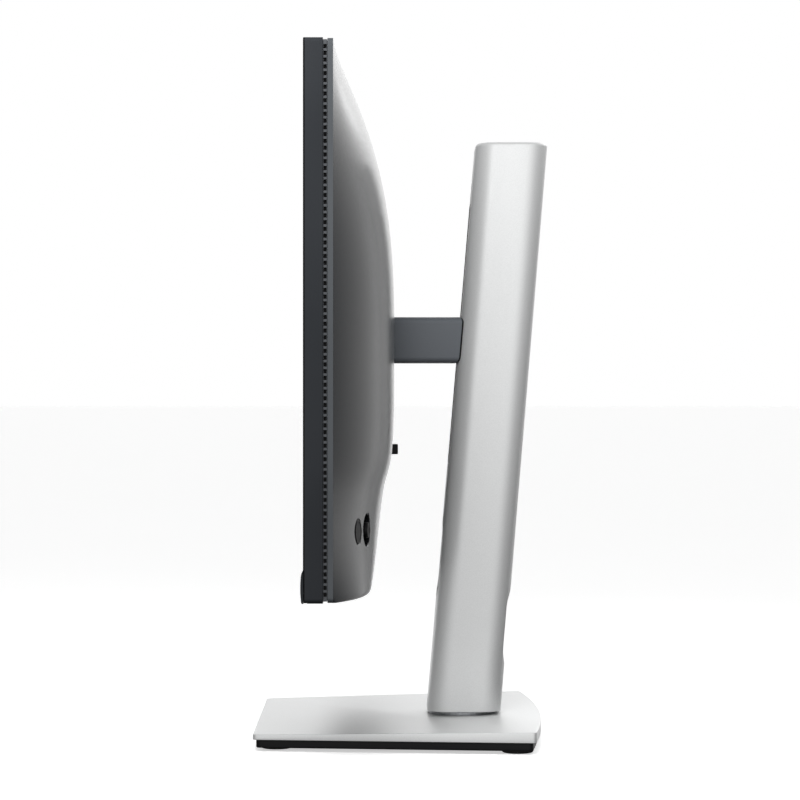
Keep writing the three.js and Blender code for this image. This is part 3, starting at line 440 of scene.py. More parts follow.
FRAME_PLASTIC = moulded("frame_plastic", (37, 39, 42), (42, 44, 47), 0.5, Specular_IOR_Level=0.1)
RIM_PLASTIC = moulded("rim_plastic", (62, 65, 68), (68, 71, 74), 0.45, Specular_IOR_Level=0.3)
RIB_PLASTIC = moulded("rib_plastic", (62, 64, 67), (68, 70, 73), 0.5, Specular_IOR_Level=0.3)
COVER_PLASTIC = moulded("cover_plastic", (32, 34, 37), (37, 39, 42), 0.22, depth=0.012)
ARM_PLASTIC = moulded("arm_plastic", (84, 88, 93), (90, 94, 99), 0.45)
BLACK_PLASTIC = moulded("black_plastic", (12, 12, 14), (16, 16, 18), 0.5, Specular_IOR_Level=0.2)
# Painted shade: a near-black matte look put in the vent slot floors, along the head's front edge and in the
# gap at the arm's end, where there is only shade.
PAINTED_SHADE_BLACK = moulded("painted_shade_black", (3, 3, 4), (5, 5, 6), 0.8)
RUBBER = moulded("rubber", (16, 16, 16), (22, 22, 22), 0.85, grain=700, depth=0.06)
NYLON = moulded("nylon", (206, 203, 196), (222, 219, 212), 0.5)
OPTICAL_PLASTIC = moulded("optical_plastic", (225, 227, 229), (238, 239, 240), 0.3, depth=0.005)
TONGUE_PLASTIC = moulded("tongue_plastic", (30, 31, 33), (38, 39, 42), 0.4)
SILVER = silver_paint()
STEEL = metal("steel", (150, 152, 156), (178, 180, 184), 0.34, stretch=(0.15, 1, 1))
SPRING_STEEL = metal("spring_steel", (70, 76, 88), (96, 102, 112), 0.3, stretch=(1, 1, 0.1))
CONTACT = metal("contact", (190, 168, 104), (214, 192, 128), 0.25)
SCREEN = screen_face()
BOARD = circuit_board()


# ---- Head: frame, vent slots, chin, screen ----
def head_outline(step):
    """The head's outline, moved inwards."""
    radius = max(HEAD_CORNER - step, 0.8)
    return rounded_rect(-HEAD_HALF + step, HEAD_HALF - step, HEAD_BOTTOM + step, HEAD_TOP - step, radius)


def swept(profile):
    """A closed profile of (inset, y) points carried round the head's outline."""
    return mesh_object([[(a, y, b) for a, b in head_outline(step)] for step, y in profile], caps=False)


def box(low, high, edge=0.0):
    """A block with its four long edges and its rims rounded."""
    outline = rounded_rect(low[0], high[0], low[1], high[1], max(edge, 0.01), 3 if edge else 1)
    return prism(outline, "z", low[2], high[2], edge * 0.9)


FRAME_WALL = 1.6
FRAME_SOFT = (0.5, 0.25)  # radii of the frame's front and back edges
FRONT_SHADE_BAND = 1.0  # painted shade: a near-black band along the head's front edge, for its dark edge line
LEDGE_REACH = 6.5
LEDGE = (-56.0, -55.2)
CHIN_BACK = -58.1


def second_look(shape, chosen):
    """Gives the faces that a test picks the second of a piece's materials."""
    for face in shape.data.polygons:
        if chosen(face.center / METRES):
            face.material_index = 1


def add_frame():
    front, back = FRAME_SOFT
    profile = (
        [(front - a, FRAME_FRONT + front - b) for a, b in arc((0, 0), front, 90, 0, 3)]
        + [(0, FRAME_FRONT + FRONT_SHADE_BAND)]
        + [(back - a, FRAME_BACK - back + b) for a, b in arc((0, 0), back, 0, 90, 2)]
        + [(FRAME_WALL, FRAME_BACK), (FRAME_WALL, LEDGE[1]), (LEDGE_REACH, LEDGE[1])]
        + [(LEDGE_REACH, LEDGE[0]), (FRAME_WALL, LEDGE[0]), (FRAME_WALL, FRAME_FRONT)]
    )
    ring = swept(profile)
    far = HEAD_HALF + 20
    behind_chin = box((-far, FRAME_FRONT - 5, 0), (far, CHIN_BACK + 0.3, chin_high.z + 0.3))
    inner = HEAD_HALF - FRAME_WALL
    bottom_lip = box((-inner, FRAME_FRONT - 5, 0), (inner, LEDGE[0] + 0.1, HEAD_BOTTOM + 2))
    cut(ring, behind_chin, bottom_lip)
    looks = [FRAME_PLASTIC, PAINTED_SHADE_BLACK]
    shape = piece("frame_ring", ring, looks, "display", ["middle_frame"])
    # Painted shade: the faces along the head's front edge take the near-black look.
    second_look(shape, lambda centre: centre.y < FRAME_FRONT + FRONT_SHADE_BAND)


SLOT_PITCH = 3.841
SLOT_TALL = 2.4
SLOT_DEPTH = 1.5
SLOT_MARGIN = 0.16
SLOT_FREE_END = 5.15  # from a corner of the head to the middle of its first slot, at least
SLOT_RING_DEPTH = 1.9


def slot_edges(low, high):
    """The two edges of every slot on one side of the head, from low to high."""
    count = int((high - low - 2 * SLOT_FREE_END) / SLOT_PITCH) + 1
    start = (low + high - (count - 1) * SLOT_PITCH) / 2
    for i in range(count):
        middle = start + i * SLOT_PITCH
        yield middle - SLOT_TALL / 2, middle + SLOT_TALL / 2


def add_vent_slots():
    """One ring all round the head, with square slots sunk into it; the slot floors are painted near-black,
    painted shade for the slots' depth.
    """
    outer = HEAD_HALF - grille_high.x
    y0, y1 = grille_low.y, grille_high.y
    inner = outer + SLOT_RING_DEPTH

    def section(sunk):
        floor = outer + (SLOT_DEPTH if sunk else 0)
        return [
            (outer, y0),
            (outer, y0 + SLOT_MARGIN),
            (floor, y0 + SLOT_MARGIN),
            (floor, y1 - SLOT_MARGIN),
            (outer, y1 - SLOT_MARGIN),
            (outer, y1),
            (inner, y1),
            (inner, y0),
        ]

    side_places = {
        "right": lambda t, step: (HEAD_HALF - step, t),
        "top": lambda t, step: (-t, HEAD_TOP - step),
        "left": lambda t, step: (-HEAD_HALF + step, HEAD_BOTTOM + HEAD_TOP - t),
        "bottom": lambda t, step: (t, HEAD_BOTTOM + step),
    }
    mitres = {"right": (1, 0), "top": (1, 1), "left": (0, 1), "bottom": (0, 0)}
    rings = []
    for side, place in side_places.items():
        upright = side in ("right", "left")
        low, high = (HEAD_BOTTOM, HEAD_TOP) if upright else (-HEAD_HALF, HEAD_HALF)
        at_right, at_top = mitres[side]
        corner = []
        for step, y in section(False):
            x = HEAD_HALF - step if at_right else -HEAD_HALF + step
            z = HEAD_TOP - step if at_top else HEAD_BOTTOM + step
            corner.append((x, y, z))
        rings.append(corner)
        for start, end in slot_edges(low, high):
            for t, sunk in ((start, False), (start, True), (end, True), (end, False)):
                rings.append([(place(t, step)[0], y, place(t, step)[1]) for step, y in section(sunk)])
    ring = mesh_object(rings, caps=False)
    looks = [RIB_PLASTIC, PAINTED_SHADE_BLACK]
    shape = piece("vent_slots", ring, looks, "display", ["vent_grille"])

    def is_sunk(centre):
        return min(HEAD_HALF - abs(centre.x), HEAD_HALF_TALL - abs(centre.z - HEAD_MIDDLE)) > outer + 0.1

    # Painted shade: the sunk slot floors take the near-black look.
    second_look(shape, is_sunk)


LIGHT_GAP = 0.25  # round the status light


def add_chin():
    front, back = chin_low.y, CHIN_BACK
    top, bottom = chin_high.z, chin_low.z
    outline = [(back, bottom), (back, top), (FRAME_FRONT - 0.1, top)]
    outline += bezier((FRAME_FRONT - 0.1, top), (front + 0.75, top - 0.6), (front + 0.3, top - 3.4), 5)
    outline += bezier((front + 0.3, top - 3.4), (front - 0.3, top - 11), (front + 0.5, bottom + 1.0), 8)
    outline += bezier((front + 0.5, bottom + 1.0), (front + 0.6, bottom), (front + 1.3, bottom), 3)
    bar = prism(outline, "x", -HEAD_HALF, HEAD_HALF, 0.35)
    light_low, light_high = corners("power_light")
    hole_low = (light_low.x - LIGHT_GAP, front - 5, light_low.z - LIGHT_GAP)
    hole_high = (light_high.x + LIGHT_GAP, back + 5, light_high.z + LIGHT_GAP)
    cut(bar, box(hole_low, hole_high, 0.3))
    piece("chin_bar", bar, FRAME_PLASTIC, "display", ["chin_cover"])
    lens = box(light_low, light_high, 0.25)
    piece("status_light_lens", lens, OPTICAL_PLASTIC, "display", ["power_light"])


def add_screen():
    low, high = corners("lcd_panel")
    outline = rounded_rect(low.x, high.x, low.z, high.z, 1.2)
    panel = prism(outline, "y", low.y, high.y, 0.25)
    piece("screen_panel", panel, SCREEN, "display", ["lcd_panel"])


# ---- Head: the curved back ----
UPPER_START = 262.0
UPPER_POWER = 2.55
LOWER_BACK = [  # height, and how far the back lies there under its flat middle
    (HEAD_BOTTOM, 16.8),
    (104, 15.2),
    (105.6, 14),
    (108, 13.4),
    (165.8, 6),
    (172, 4.3),
    (178.5, 2.6),
    (186, 1.4),
    (200, 0.5),
    (222, 0),
]
BOTTOM_EDGE = 3  # LOWER_BACK's first rows, up to this one, are the rounded bottom edge


def lower_drop(z):
    """A smooth curve through LOWER_BACK that never turns back on itself."""
    i = max(k for k in range(len(LOWER_BACK) - 1) if LOWER_BACK[k][0] <= z)

    def slope(k):
        (z0, d0), (z1, d1) = LOWER_BACK[k], LOWER_BACK[k + 1]
        return (d1 - d0) / (z1 - z0)

    def tangent(k):
        if k == 0:
            return slope(0)
        if k == len(LOWER_BACK) - 1:
            return 0.0
        one, other = slope(k - 1), slope(k)
        return 2 * one * other / (one + other)

    (z0, d0), (z1, d1) = LOWER_BACK[i], LOWER_BACK[i + 1]
    span = z1 - z0
    t = (z - z0) / span
    return (
        d0 * (1 + 2 * t) * (1 - t) ** 2
        + tangent(i) * span * t * (1 - t) ** 2
        + d1 * t**2 * (3 - 2 * t)
        + tangent(i + 1) * span * t**2 * (t - 1)
    )


def profile_drop(z):
    """How far the back lies under its flat middle, along the middle plane."""
    if z >= UPPER_START:
        share = (z - UPPER_START) / (HEAD_TOP - UPPER_START)
        return EDGE_DROP * share**UPPER_POWER
    return 0.0 if z >= LOWER_BACK[-1][0] else lower_drop(z)


def flat_half(z):
    """Half the width over which the back keeps its full depth."""
    down = min(max((FULLER_BELOW - z) / (FULLER_BELOW - HEAD_BOTTOM), 0.0), 1.0)
    return FLAT_HALF + (FLAT_HALF_AT_BOTTOM - FLAT_HALF) * down**FULLNESS_POWER


def back_y(x, z):
    height = min(max(z, HEAD_BOTTOM), HEAD_TOP)
    flat = flat_half(height)
    beyond = max(0.0, abs(x) - flat) / (HEAD_HALF - flat)
    drop = profile_drop(height)
    return PLATEAU - drop - (EDGE_DROP - drop) * beyond**2


def steps_between(low, high, count):
    """Even steps from low to high, without low."""
    return [low + (high - low) * (i + 1) / count for i in range(count)]


def back_stations():
    """Where the curved back's grid lines run, along X and along Z."""
    edge_rows, edge_crowding = 10, 1.6
    straight_side = HEAD_HALF - HEAD_CORNER
    right = [0.0] + steps_between(0, FLAT_HALF, 16) + steps_between(FLAT_HALF, straight_side, 40)
    right += steps_between(straight_side, HEAD_HALF, 3)
    across = [-x for x in reversed(right[1:])] + right
    edge_top = LOWER_BACK[BOTTOM_EDGE][0]
    edge_tall = edge_top - HEAD_BOTTOM
    up = [HEAD_BOTTOM + edge_tall * (i / edge_rows) ** edge_crowding for i in range(edge_rows + 1)]
    bends = LOWER_BACK[BOTTOM_EDGE:]
    for (z0, _), (z1, _) in zip(bends, bends[1:]):
        up += steps_between(z0, z1, max(2, round((z1 - z0) / 4)))
    straight_top = HEAD_TOP - HEAD_CORNER
    up += steps_between(bends[-1][0], UPPER_START, 6)
    up += steps_between(UPPER_START, straight_top, 34)
    up += steps_between(straight_top, HEAD_TOP, 3)
    return across, up


def round_corner(x, z):
    """Bends the square corners of the grid into the head's round ones."""
    reach_x = (abs(x) - (HEAD_HALF - HEAD_CORNER)) / HEAD_CORNER
    reach_z = (abs(z - HEAD_MIDDLE) - (HEAD_HALF_TALL - HEAD_CORNER)) / HEAD_CORNER
    if reach_x <= 0 or reach_z <= 0:
        return x, z
    new_x = HEAD_HALF - HEAD_CORNER + HEAD_CORNER * reach_x * math.sqrt(1 - reach_z**2 / 2)
    new_z = HEAD_HALF_TALL - HEAD_CORNER + HEAD_CORNER * reach_z * math.sqrt(1 - reach_x**2 / 2)
    return math.copysign(new_x, x), HEAD_MIDDLE + math.copysign(new_z, z - HEAD_MIDDLE)


def pillow(step, drop):
    """Grid points of the curved back, shrunk sideways by step and sunk by drop."""
    across, up = back_stations()
    shrink_x = (HEAD_HALF - step) / HEAD_HALF
    shrink_z = 1 - 2 * step / (HEAD_TOP - HEAD_BOTTOM)
    rows = []
    for z in up:
        row = []
        for x in across:
            px, pz = round_corner(x, z)
            px, pz = px * shrink_x, HEAD_MIDDLE + (pz - HEAD_MIDDLE) * shrink_z
            row.append(Vector((px, back_y(x, z) - drop, pz)))
        rows.append(row)
    return rows


def rim_of(rows):
    """The grid's border points, in order round it."""
    return rows[0] + [row[-1] for row in rows[1:-1]] + rows[-1][::-1] + [row[0] for row in rows[-2:0:-1]]


def curved_solid(outer, rim_rings, inner):
    """A closed body between two grids, joined round the border by rings of points."""
    mesh = bmesh.new()
    borders = []
    for rows in (outer, inner):
        grid = [[mesh.verts.new(point * METRES) for point in row] for row in rows]
        for one, other in zip(grid, grid[1:]):
            for i in range(1, len(one)):
                mesh.faces.new((one[i - 1], one[i], other[i], other[i - 1]))
        borders.append(rim_of(grid))
    rings = [[mesh.verts.new(point * METRES) for point in ring] for ring in rim_rings]
    loops = [borders[0], *rings, borders[1]]
    for one, other in zip(loops, loops[1:]):
        for i in range(len(one)):
            mesh.faces.new((one[i - 1], one[i], other[i], other[i - 1]))
    return object_from(mesh)


RIM_STEP = 0.4  # how far the cover's edge lies inside the head's outline
RIM_SOFT = 0.35
BAY_HALF = 125.0
BAY_FLOOR = -38.0
BAY_TOP = 163.4
BAY_SLOPE_TOP = 137.0
BAY_LIP = (-16.0, 114.0)
BAY_WALL = 2.0
BEHIND_BACK = 10.0


def bay_outline(grow):
    """The socket bay's section in Y and Z: open to the back, with a sloping lower side."""
    return [
        (BAY_FLOOR - grow, BAY_SLOPE_TOP - grow * 0.5),
        (BAY_LIP[0] - grow, BAY_LIP[1] - grow),
        (BEHIND_BACK, BAY_LIP[1] - grow),
        (BEHIND_BACK, BAY_TOP + grow),
        (BAY_FLOOR - grow, BAY_TOP + grow),
    ]


def cover_body(wall, drop=0.0, step=RIM_STEP):
    """The cover as a shell of that wall, or as a full body where there is no wall."""
    outer = pillow(step, drop)
    if not wall:
        return curved_solid(outer, [], [[Vector((p.x, LIP_FRONT, p.z)) for p in row] for row in outer])
    border = rim_of(outer)

    def ring(y, inwards):
        made = []
        for p in border:
            height = p.z - HEAD_MIDDLE
            x = p.x - math.copysign(min(inwards, abs(p.x)), p.x)
            z = p.z - math.copysign(min(inwards, abs(height)), height)
            made.append(Vector((x, y, z)))
        return made

    rings = [
        ring(LIP_FRONT + RIM_SOFT, 0),
        ring(LIP_FRONT + RIM_SOFT * 0.3, RIM_SOFT * 0.3),
        ring(LIP_FRONT, RIM_SOFT),
        ring(LIP_FRONT, wall),
    ]
    return curved_solid(outer, rings, pillow(step + wall, drop + wall))


def surface_frame(node):
    """Where a round control sits on the curved back: its place, and its own Y axis out of the surface."""
    low, high = corners(node)
    x, z = (low.x + high.x) / 2, (low.z + high.z) / 2
    for _ in range(3):  # settles where the surface's normal runs through the control's middle
        h = 0.5
        slope_x = (back_y(x + h, z) - back_y(x - h, z)) / (2 * h)
        slope_z = (back_y(x, z + h) - back_y(x, z - h)) / (2 * h)
        normal = Vector((-slope_x, 1, -slope_z)).normalized()
        depth = back_y(x, z) - (low.y + high.y) / 2
        x = (low.x + high.x) / 2 + normal.x * depth
        z = (low.z + high.z) / 2 + normal.z * depth
    turn = Vector((0, 1, 0)).rotation_difference(normal).to_matrix().to_4x4()
    return Matrix.Translation(Vector((x, back_y(x, z), z)) * METRES) @ turn


def put(shape, matrix):
    shape.data.transform(matrix)
    return shape


BORES = {"power_button": 7.45, "joystick_knob": 9.7}  # radii
BORE_DEPTH = -9.0
BORE_FLARE = 0.5
RELEASE_Z = 185.4
RELEASE_HALF = (8.5, 3.25)
RELEASE_GAP = 0.4
PLATE_GAP = 0.7
THROUGH_COVER = (-30.0, 5.0)


def square_outline(half, radius):
    """A rounded square round the pivot, in X and Z."""
    return rounded_rect(-half, half, PIVOT_Z - half, PIVOT_Z + half, radius)


def release_outline(grow, radius):
    a, b = RELEASE_HALF[0] + grow, RELEASE_HALF[1] + grow
    return rounded_rect(-a, a, RELEASE_Z - b, RELEASE_Z + b, radius)


def add_cover():
    shell = cover_body(COVER_WALL)
    tools = [
        prism(bay_outline(0), "x", -BAY_HALF, BAY_HALF),
        prism(square_outline(plate_high.x + PLATE_GAP, PLATE_CORNER + PLATE_GAP), "y", *THROUGH_COVER),
        prism(release_outline(RELEASE_GAP, 1.6), "y", *THROUGH_COVER),
    ]
    flare = BORE_FLARE
    for node, radius in BORES.items():
        profile = [(0, BORE_DEPTH), (radius, BORE_DEPTH), (radius, -flare)]
        profile += [(radius + 2 * flare, flare), (0, flare)]
        tools.append(put(turned(profile, "y", steps=56), CONTROL_PLACES[node]))
    cut(shell, *tools)
    looks = [COVER_PLASTIC, RIM_PLASTIC]
    cover = piece("cover_shell", shell, looks, "display", ["back_cover"], smooth=28)
    second_look(cover, lambda centre: centre.y < PLATEAU - EDGE_DROP - 0.05)

    liner = prism(bay_outline(BAY_WALL), "x", -BAY_HALF - BAY_WALL, BAY_HALF + BAY_WALL)
    boolean(liner, "INTERSECT", [cover_body(0, drop=0.6, step=3)])
    socket_holes = []
    around = Vector((SOCKET_GAP, SOCKET_GAP, 0))
    for name in SOCKETS:
        low, high = corners(name)
        low.z, high.z = BAY_TOP - BAY_WALL, BAY_TOP + 5
        socket_holes.append(box(low - around, high + around))
    cut(liner, prism(bay_outline(0), "x", -BAY_HALF, BAY_HALF), *socket_holes)
    piece("socket_bay_liner", liner, COVER_PLASTIC, "display")


# Profiles of (radius, Y) points round the pivot.
DISH_BOSS = [(0, -22), (36, -22), (36, -11), (0, -11)]
DISH = [(0, -16.9), (31, -16.9), (33.2, -15.9), (34, -13.6), (34, -9.3), (34.8, -8.5), (34.8, 0), (0, 0)]
THROAT = [(0, -30), (27.5, -30), (27.5, -18.2), (24, -18.2), (24, -10), (0, -10)]
PLATE_FRONT = -11.2
PLATE_CORNER = 6.0


def add_mount_plate():
    plate = prism(square_outline(plate_high.x, PLATE_CORNER), "y", PLATE_FRONT, plate_high.y, 0.4)
    join(plate, turned(DISH_BOSS, "y", PIVOT, 64))
    cut(plate, turned(DISH, "y", PIVOT, 72), turned(THROAT, "y", PIVOT, 64))
    web = together(box((-10, -16.5, 203.5), (10, -11.3, 206)), box((-10, -16.5, 197.2), (10, -14.4, 203.6)))
    shape = together(plate, web)
    piece("mount_plate_dish", shape, COVER_PLASTIC, "display", ["mount_plate"])


# ---- Sockets ----
SOCKETS = ["power_inlet", "hdmi_socket", "display_socket", "usb_upstream_socket", "usb_socket_pair"]
SOCKET_GAP = 0.2
SOCKET_BACK_WALL = 2.0
INLET_WALL = 1.8
INLET_SLOPE = 4.2
INLET_DEPTH = 19.5
USB_WALL = 1.2


def socket_shell(low, high, mouths, depth):
    """A socket's body with its mouths open downwards; the mouths are outlines in X and Y."""
    body = box(low, high, 0.3)
    cut(body, *[prism(mouth, "z", low.z - 1, low.z + depth) for mouth in mouths])
    return body


def add_power_inlet():
    low, high = corners("power_inlet")
    x0, x1 = low.x + INLET_WALL, high.x - INLET_WALL
    y0, y1 = low.y + INLET_WALL, high.y - INLET_WALL
    slope = INLET_SLOPE
    mouth = [(x0, y0), (x1, y0), (x1, y1 - slope), (x1 - slope, y1), (x0 + slope, y1), (x0, y1 - slope)]
    shell = socket_shell(low, high, [mouth], INLET_DEPTH)
    piece("power_inlet_shell", shell, BLACK_PLASTIC, "display", ["power_inlet"])
    middle_x = (x0 + x1) / 2
    blades = []
    for x, y in ((middle_x - 7, y0 + 4.4), (middle_x + 7, y0 + 4.4), (middle_x, y1 - 4.2)):
        blades.append(box((x - 1, y - 2, low.z + 3), (x + 1, y + 2, low.z + INLET_DEPTH - 0.1), 0.3))
    piece("power_inlet_blades", together(*blades), CONTACT, "display")


def add_signal_sockets():
    plans = {
        "hdmi_socket": {"wall": 1.2, "slope": 1.6, "both": True, "tongue": 0.9},
        "display_socket": {"wall": 1.2, "slope": 1.8, "both": False, "tongue": 0.9},
        "usb_upstream_socket": {"wall": 1.6, "slope": 1.5, "both": True, "tongue": 2.6},
    }
    for name, plan in plans.items():
        low, high = corners(name)
        wall, slope = plan["wall"], plan["slope"]
        x0, x1, y0, y1 = low.x + wall, high.x - wall, low.y + wall, high.y - wall
        left = slope if plan["both"] else 0.01
        mouth = [(x0, y0), (x1, y0), (x1, y1 - slope), (x1 - slope, y1), (x0 + left, y1), (x0, y1 - left)]
        shell = socket_shell(low, high, [mouth], high.z - low.z - SOCKET_BACK_WALL)
        piece(name.replace("socket", "shell"), shell, STEEL, "display", [name])
        middle, half = (y0 + y1) / 2, plan["tongue"] / 2
        tongue = box((x0 + 2, middle - half, low.z + 1.2), (x1 - 2, middle + half, high.z - 1.9), 0.2)
        piece(name.replace("socket", "tongue"), tongue, TONGUE_PLASTIC, "display")


def add_usb_pair():
    low, high = corners("usb_socket_pair")
    wall = USB_WALL
    width = (high.x - low.x - 3 * wall) / 2
    mouths, tongues = [], []
    for i in range(2):
        x0 = low.x + wall + i * (width + wall)
        mouths.append(rounded_rect(x0, x0 + width, low.y + wall, high.y - wall, 0.4, 2))
        tongue_y = high.y - wall - 2.3
        tongue_low = (x0 + 1.4, tongue_y, low.z + 1)
        tongues.append(box(tongue_low, (x0 + width - 1.4, tongue_y + 1.6, high.z - 1.9), 0.2))
    shell = socket_shell(low, high, mouths, high.z - low.z - SOCKET_BACK_WALL)
    piece("usb_pair_shell", shell, STEEL, "display", ["usb_socket_pair"])
    piece("usb_pair_tongues", together(*tongues), TONGUE_PLASTIC, "display")


# ---- Controls on the back ----
CONTROL_PLACES = {name: surface_frame(name) for name in BORES}
# Profiles of (radius, depth) points; depth 0 is on the surface of the back.
BUTTON = [(0, -4.7), (8.4, -4.7), (8.4, -3), (7.1, -3), (7.1, -0.15), (6.75, 0.22)]
BUTTON += [(6.2, 0.3), (5.9, 0.1), (5.4, 0.02), (3, 0.1), (0, 0.14)]
KNOB = [(0, -9.9), (2, -9.9), (2, -6.4), (10.5, -6.4), (10.5, -5.4), (4.2, -5.0), (2.4, -4.2), (2.2, -2.2)]
KNOB += [(4.5, -1.9), (4.7, -1.5), (4.7, 0.5), (4.4, 1.05), (3.9, 1.2), (3.2, 1.0), (1.6, 0.75), (0, 0.7)]
RELEASE_FLANGE_BACK = -11.5


def add_controls():
    cap = put(turned(BUTTON, "y", steps=64), CONTROL_PLACES["power_button"])
    piece("power_button_cap", cap, BLACK_PLASTIC, "power_button", ["power_button"])

    stick = put(turned(KNOB, "y", steps=64), CONTROL_PLACES["joystick_knob"])
    piece("joystick_stick", stick, BLACK_PLASTIC, "joystick", ["joystick_knob"])

    low, high = corners("release_button")
    tab = prism(release_outline(0, 1.4), "y", RELEASE_FLANGE_BACK - 0.5, high.y, 0.3, 0.7)
    join(tab, box(low, (high.x, RELEASE_FLANGE_BACK, high.z), 0.3))
    piece("release_button_tab", tab, BLACK_PLASTIC, "release_button", ["release_button"])


# ---- Stand ----
COLUMN_EDGE = (0.5, 2.4)  # radii of the column's lower and upper rims


def column_section(grow=0.0):
    """The column's level section round its own middle: flat sides and elliptical corners."""
    a, b = COLUMN_HALF_WIDTH + grow, COLUMN_HALF_DEPTH + grow
    corner = (COLUMN_CORNER[0] + grow, COLUMN_CORNER[1] + grow)
    return rounded_rect(-a, a, -b, b, corner, 16)


def column_ring(z, step=0.0, section=None):
    """A level ring of the leaning, slightly tapered column at height z, moved inwards."""
    shift = COLUMN_FOOT_Y + z * math.tan(LEAN)
    slimmer = 1 - COLUMN_TAPER / COLUMN_HALF_DEPTH * (z - COLUMN_BOTTOM) / COLUMN_RISE
    return [(a, b * slimmer + shift, z) for a, b in inset(section or column_section(), step)]


def column_outside():
    """The column's rings; its top edge is rounder in front than behind."""
    rings = []
    for z, step in rounded_ends(COLUMN_BOTTOM, COLUMN_TOP, *COLUMN_EDGE):
        lead = 0.2 * step if z > COLUMN_BOTTOM + 1 else 0.0
        rings.append([(x, y + lead, height) for x, y, height in column_ring(z, step)])
    return rings


def column_room(grow, low, high):
    """A plain body that follows the leaning column, grown by a gap."""
    return mesh_object([column_ring(z, 0, column_section(grow)) for z in (low, high)])


COLUMN_AXES = Matrix.Translation((0, COLUMN_FOOT_Y * METRES, 0)) @ Matrix.Rotation(-LEAN, 4, "X")
FACE_SHIFT = COLUMN_HALF_DEPTH * math.cos(LEAN) * math.sin(LEAN)


def column_window(half, z_low, z_high, radius, y0, y1, behind=False):
    """A cutter through the column's front or back wall; its heights are those on that face."""
    shift = FACE_SHIFT if behind else -FACE_SHIFT
    low, high = (z_low + shift) / math.cos(LEAN), (z_high + shift) / math.cos(LEAN)
    return put(prism(rounded_rect(-half, half, low, high, radius, 10), "y", y0, y1), COLUMN_AXES)


# Half width, lowest and highest point, and corner radius.
LIFT_SLOT = (11.2, 176, 346, 4)
FRONT_OPENING = (18, 88.5, 141.5, 12)
BACK_OPENING = (21, 42.6, 97.6, 14)
THROUGH_FRONT = (-30, -10)
THROUGH_BACK = (10, 30)
COLUMN_ROOF = 3.0
TRIM_GAP = 0.3
TRIM_WALL = (2.2, 2.0)  # at the slot's sides and at its ends
TRIM_DEPTH = (-23.4, -20.4)
GROMMET_WALL = 2.3
GROMMET_DEPTH = (18.2, 21.6)


def add_column():
    shell = mesh_object(column_outside())
    cut(
        shell,
        column_room(-COLUMN_WALL, COLUMN_BOTTOM - 10, COLUMN_TOP - COLUMN_ROOF),
        column_window(*LIFT_SLOT, *THROUGH_FRONT),
        column_window(*FRONT_OPENING, *THROUGH_FRONT),
        column_window(*BACK_OPENING, *THROUGH_BACK, behind=True),
    )
    soften(shell, 0.45, 2, 50)
    piece("column_housing", shell, SILVER, "column", ["column_shell"])

    half, low, high, radius = LIFT_SLOT
    gap, (side, end) = TRIM_GAP, TRIM_WALL
    liner = column_window(half - gap, low + gap, high - gap, radius - gap, *TRIM_DEPTH)
    cut(liner, column_window(half - side, low + end, high - end, 2.5, *THROUGH_FRONT))
    soften(liner, 0.25)
    piece("lift_slot_trim", liner, BLACK_PLASTIC, "column", ["slot_liner"])

    half, low, high, radius = BACK_OPENING
    grommet = column_window(half - gap, low + gap, high - gap, radius - gap, *GROMMET_DEPTH, behind=True)
    wall = GROMMET_WALL
    hole = column_window(half - wall, low + wall, high - wall, radius - wall, *THROUGH_BACK, behind=True)
    cut(grommet, hole)
    soften(grommet, 0.4)
    piece("cable_grommet_ring", grommet, BLACK_PLASTIC, "column", ["cable_grommet"])


ARM_WALL = 2.0
ARM_BACK = 45.0
SLEEVE_GAP = 1.3  # between the arm's sleeve and the column
SHADE_SHEET_GAP = 0.15  # between the near-black sheet of painted shade in that gap and the column
BESIDE_ARM = (150, 350)  # heights


def arm_outline(wall, radius, steps):
    half = arm_high.x - wall
    return rounded_rect(-half, half, arm_low.z + wall, arm_high.z - wall, radius, steps)


def add_arm():
    outline = arm_outline(0, 4, 8)
    inside = arm_outline(ARM_WALL, 2.5, 6)
    sleeve = prism(outline, "y", arm_low.y, ARM_BACK, 0.5, 0)
    cut(sleeve, prism(inside, "y", -30, 60), column_room(SLEEVE_GAP, *BESIDE_ARM))
    soften(sleeve, 0.3)
    piece("arm_sleeve", sleeve, ARM_PLASTIC, "carriage", ["arm_cover"])

    # Painted shade: a near-black sheet in the gap between the sleeve's end and the column, where the gap is
    # only dark from shade.
    shade_sheet = prism(inset(outline, 0.55), "y", 12, ARM_BACK)
    cut(shade_sheet, prism(inside, "y", -30, 60), column_room(SHADE_SHEET_GAP, *BESIDE_ARM))
    boolean(shade_sheet, "INTERSECT", [column_room(SLEEVE_GAP, *BESIDE_ARM)])
    piece("arm_shade_sheet", shade_sheet, PAINTED_SHADE_BLACK, "carriage")


BASE_CORNER_Y = 81.0
BASE_FRONT_HALF = 109.0
BASE_TOP_FRONT = 10.9
BASE_EDGE = (0.4, 0.35)  # radii of the base's lower and upper rims


def base_outline(step=0.0):
    """The base's plan: a straight front, straight sides that spread to the back, and a bowed back."""
    back_half = base_high.x - step
    front_half = BASE_FRONT_HALF - step
    front_y, corner_y = base_low.y + step, BASE_CORNER_Y - step
    corner, flare = 3.0, 0.3
    crown_y = 2 * (base_high.y - step) - corner_y - flare
    right = [(front_half - corner, front_y)]
    right += bezier(right[-1], (front_half, front_y), (front_half + flare, front_y + corner), 5)
    right.append((back_half - flare, corner_y - corner))
    right += bezier(right[-1], (back_half, corner_y), (back_half - corner, corner_y + flare), 5)
    bow = bezier(right[-1], (0, crown_y), (-back_half + corner, corner_y + flare), 40)
    left = [(-x, y) for x, y in reversed(right[:-1])]
    return right + bow + left


RACE_FLOOR = 9.6
BORE_RADIUS = 14.1
WELL_RADIUS = 19.0
TRAY_INSET = 2.0
SCREW_PLACES = ((-60, -10), (60, -10))
SCREW_BORE = [(0, 0), (3.4, 0), (3.4, 4.4), (1.8, 4.4), (1.8, 10), (0, 10)]


def drum(radius, low, high, centre, steps):
    """A plain upright cylinder."""
    return turned([(0, low), (radius, low), (radius, high), (0, high)], "z", centre, steps)


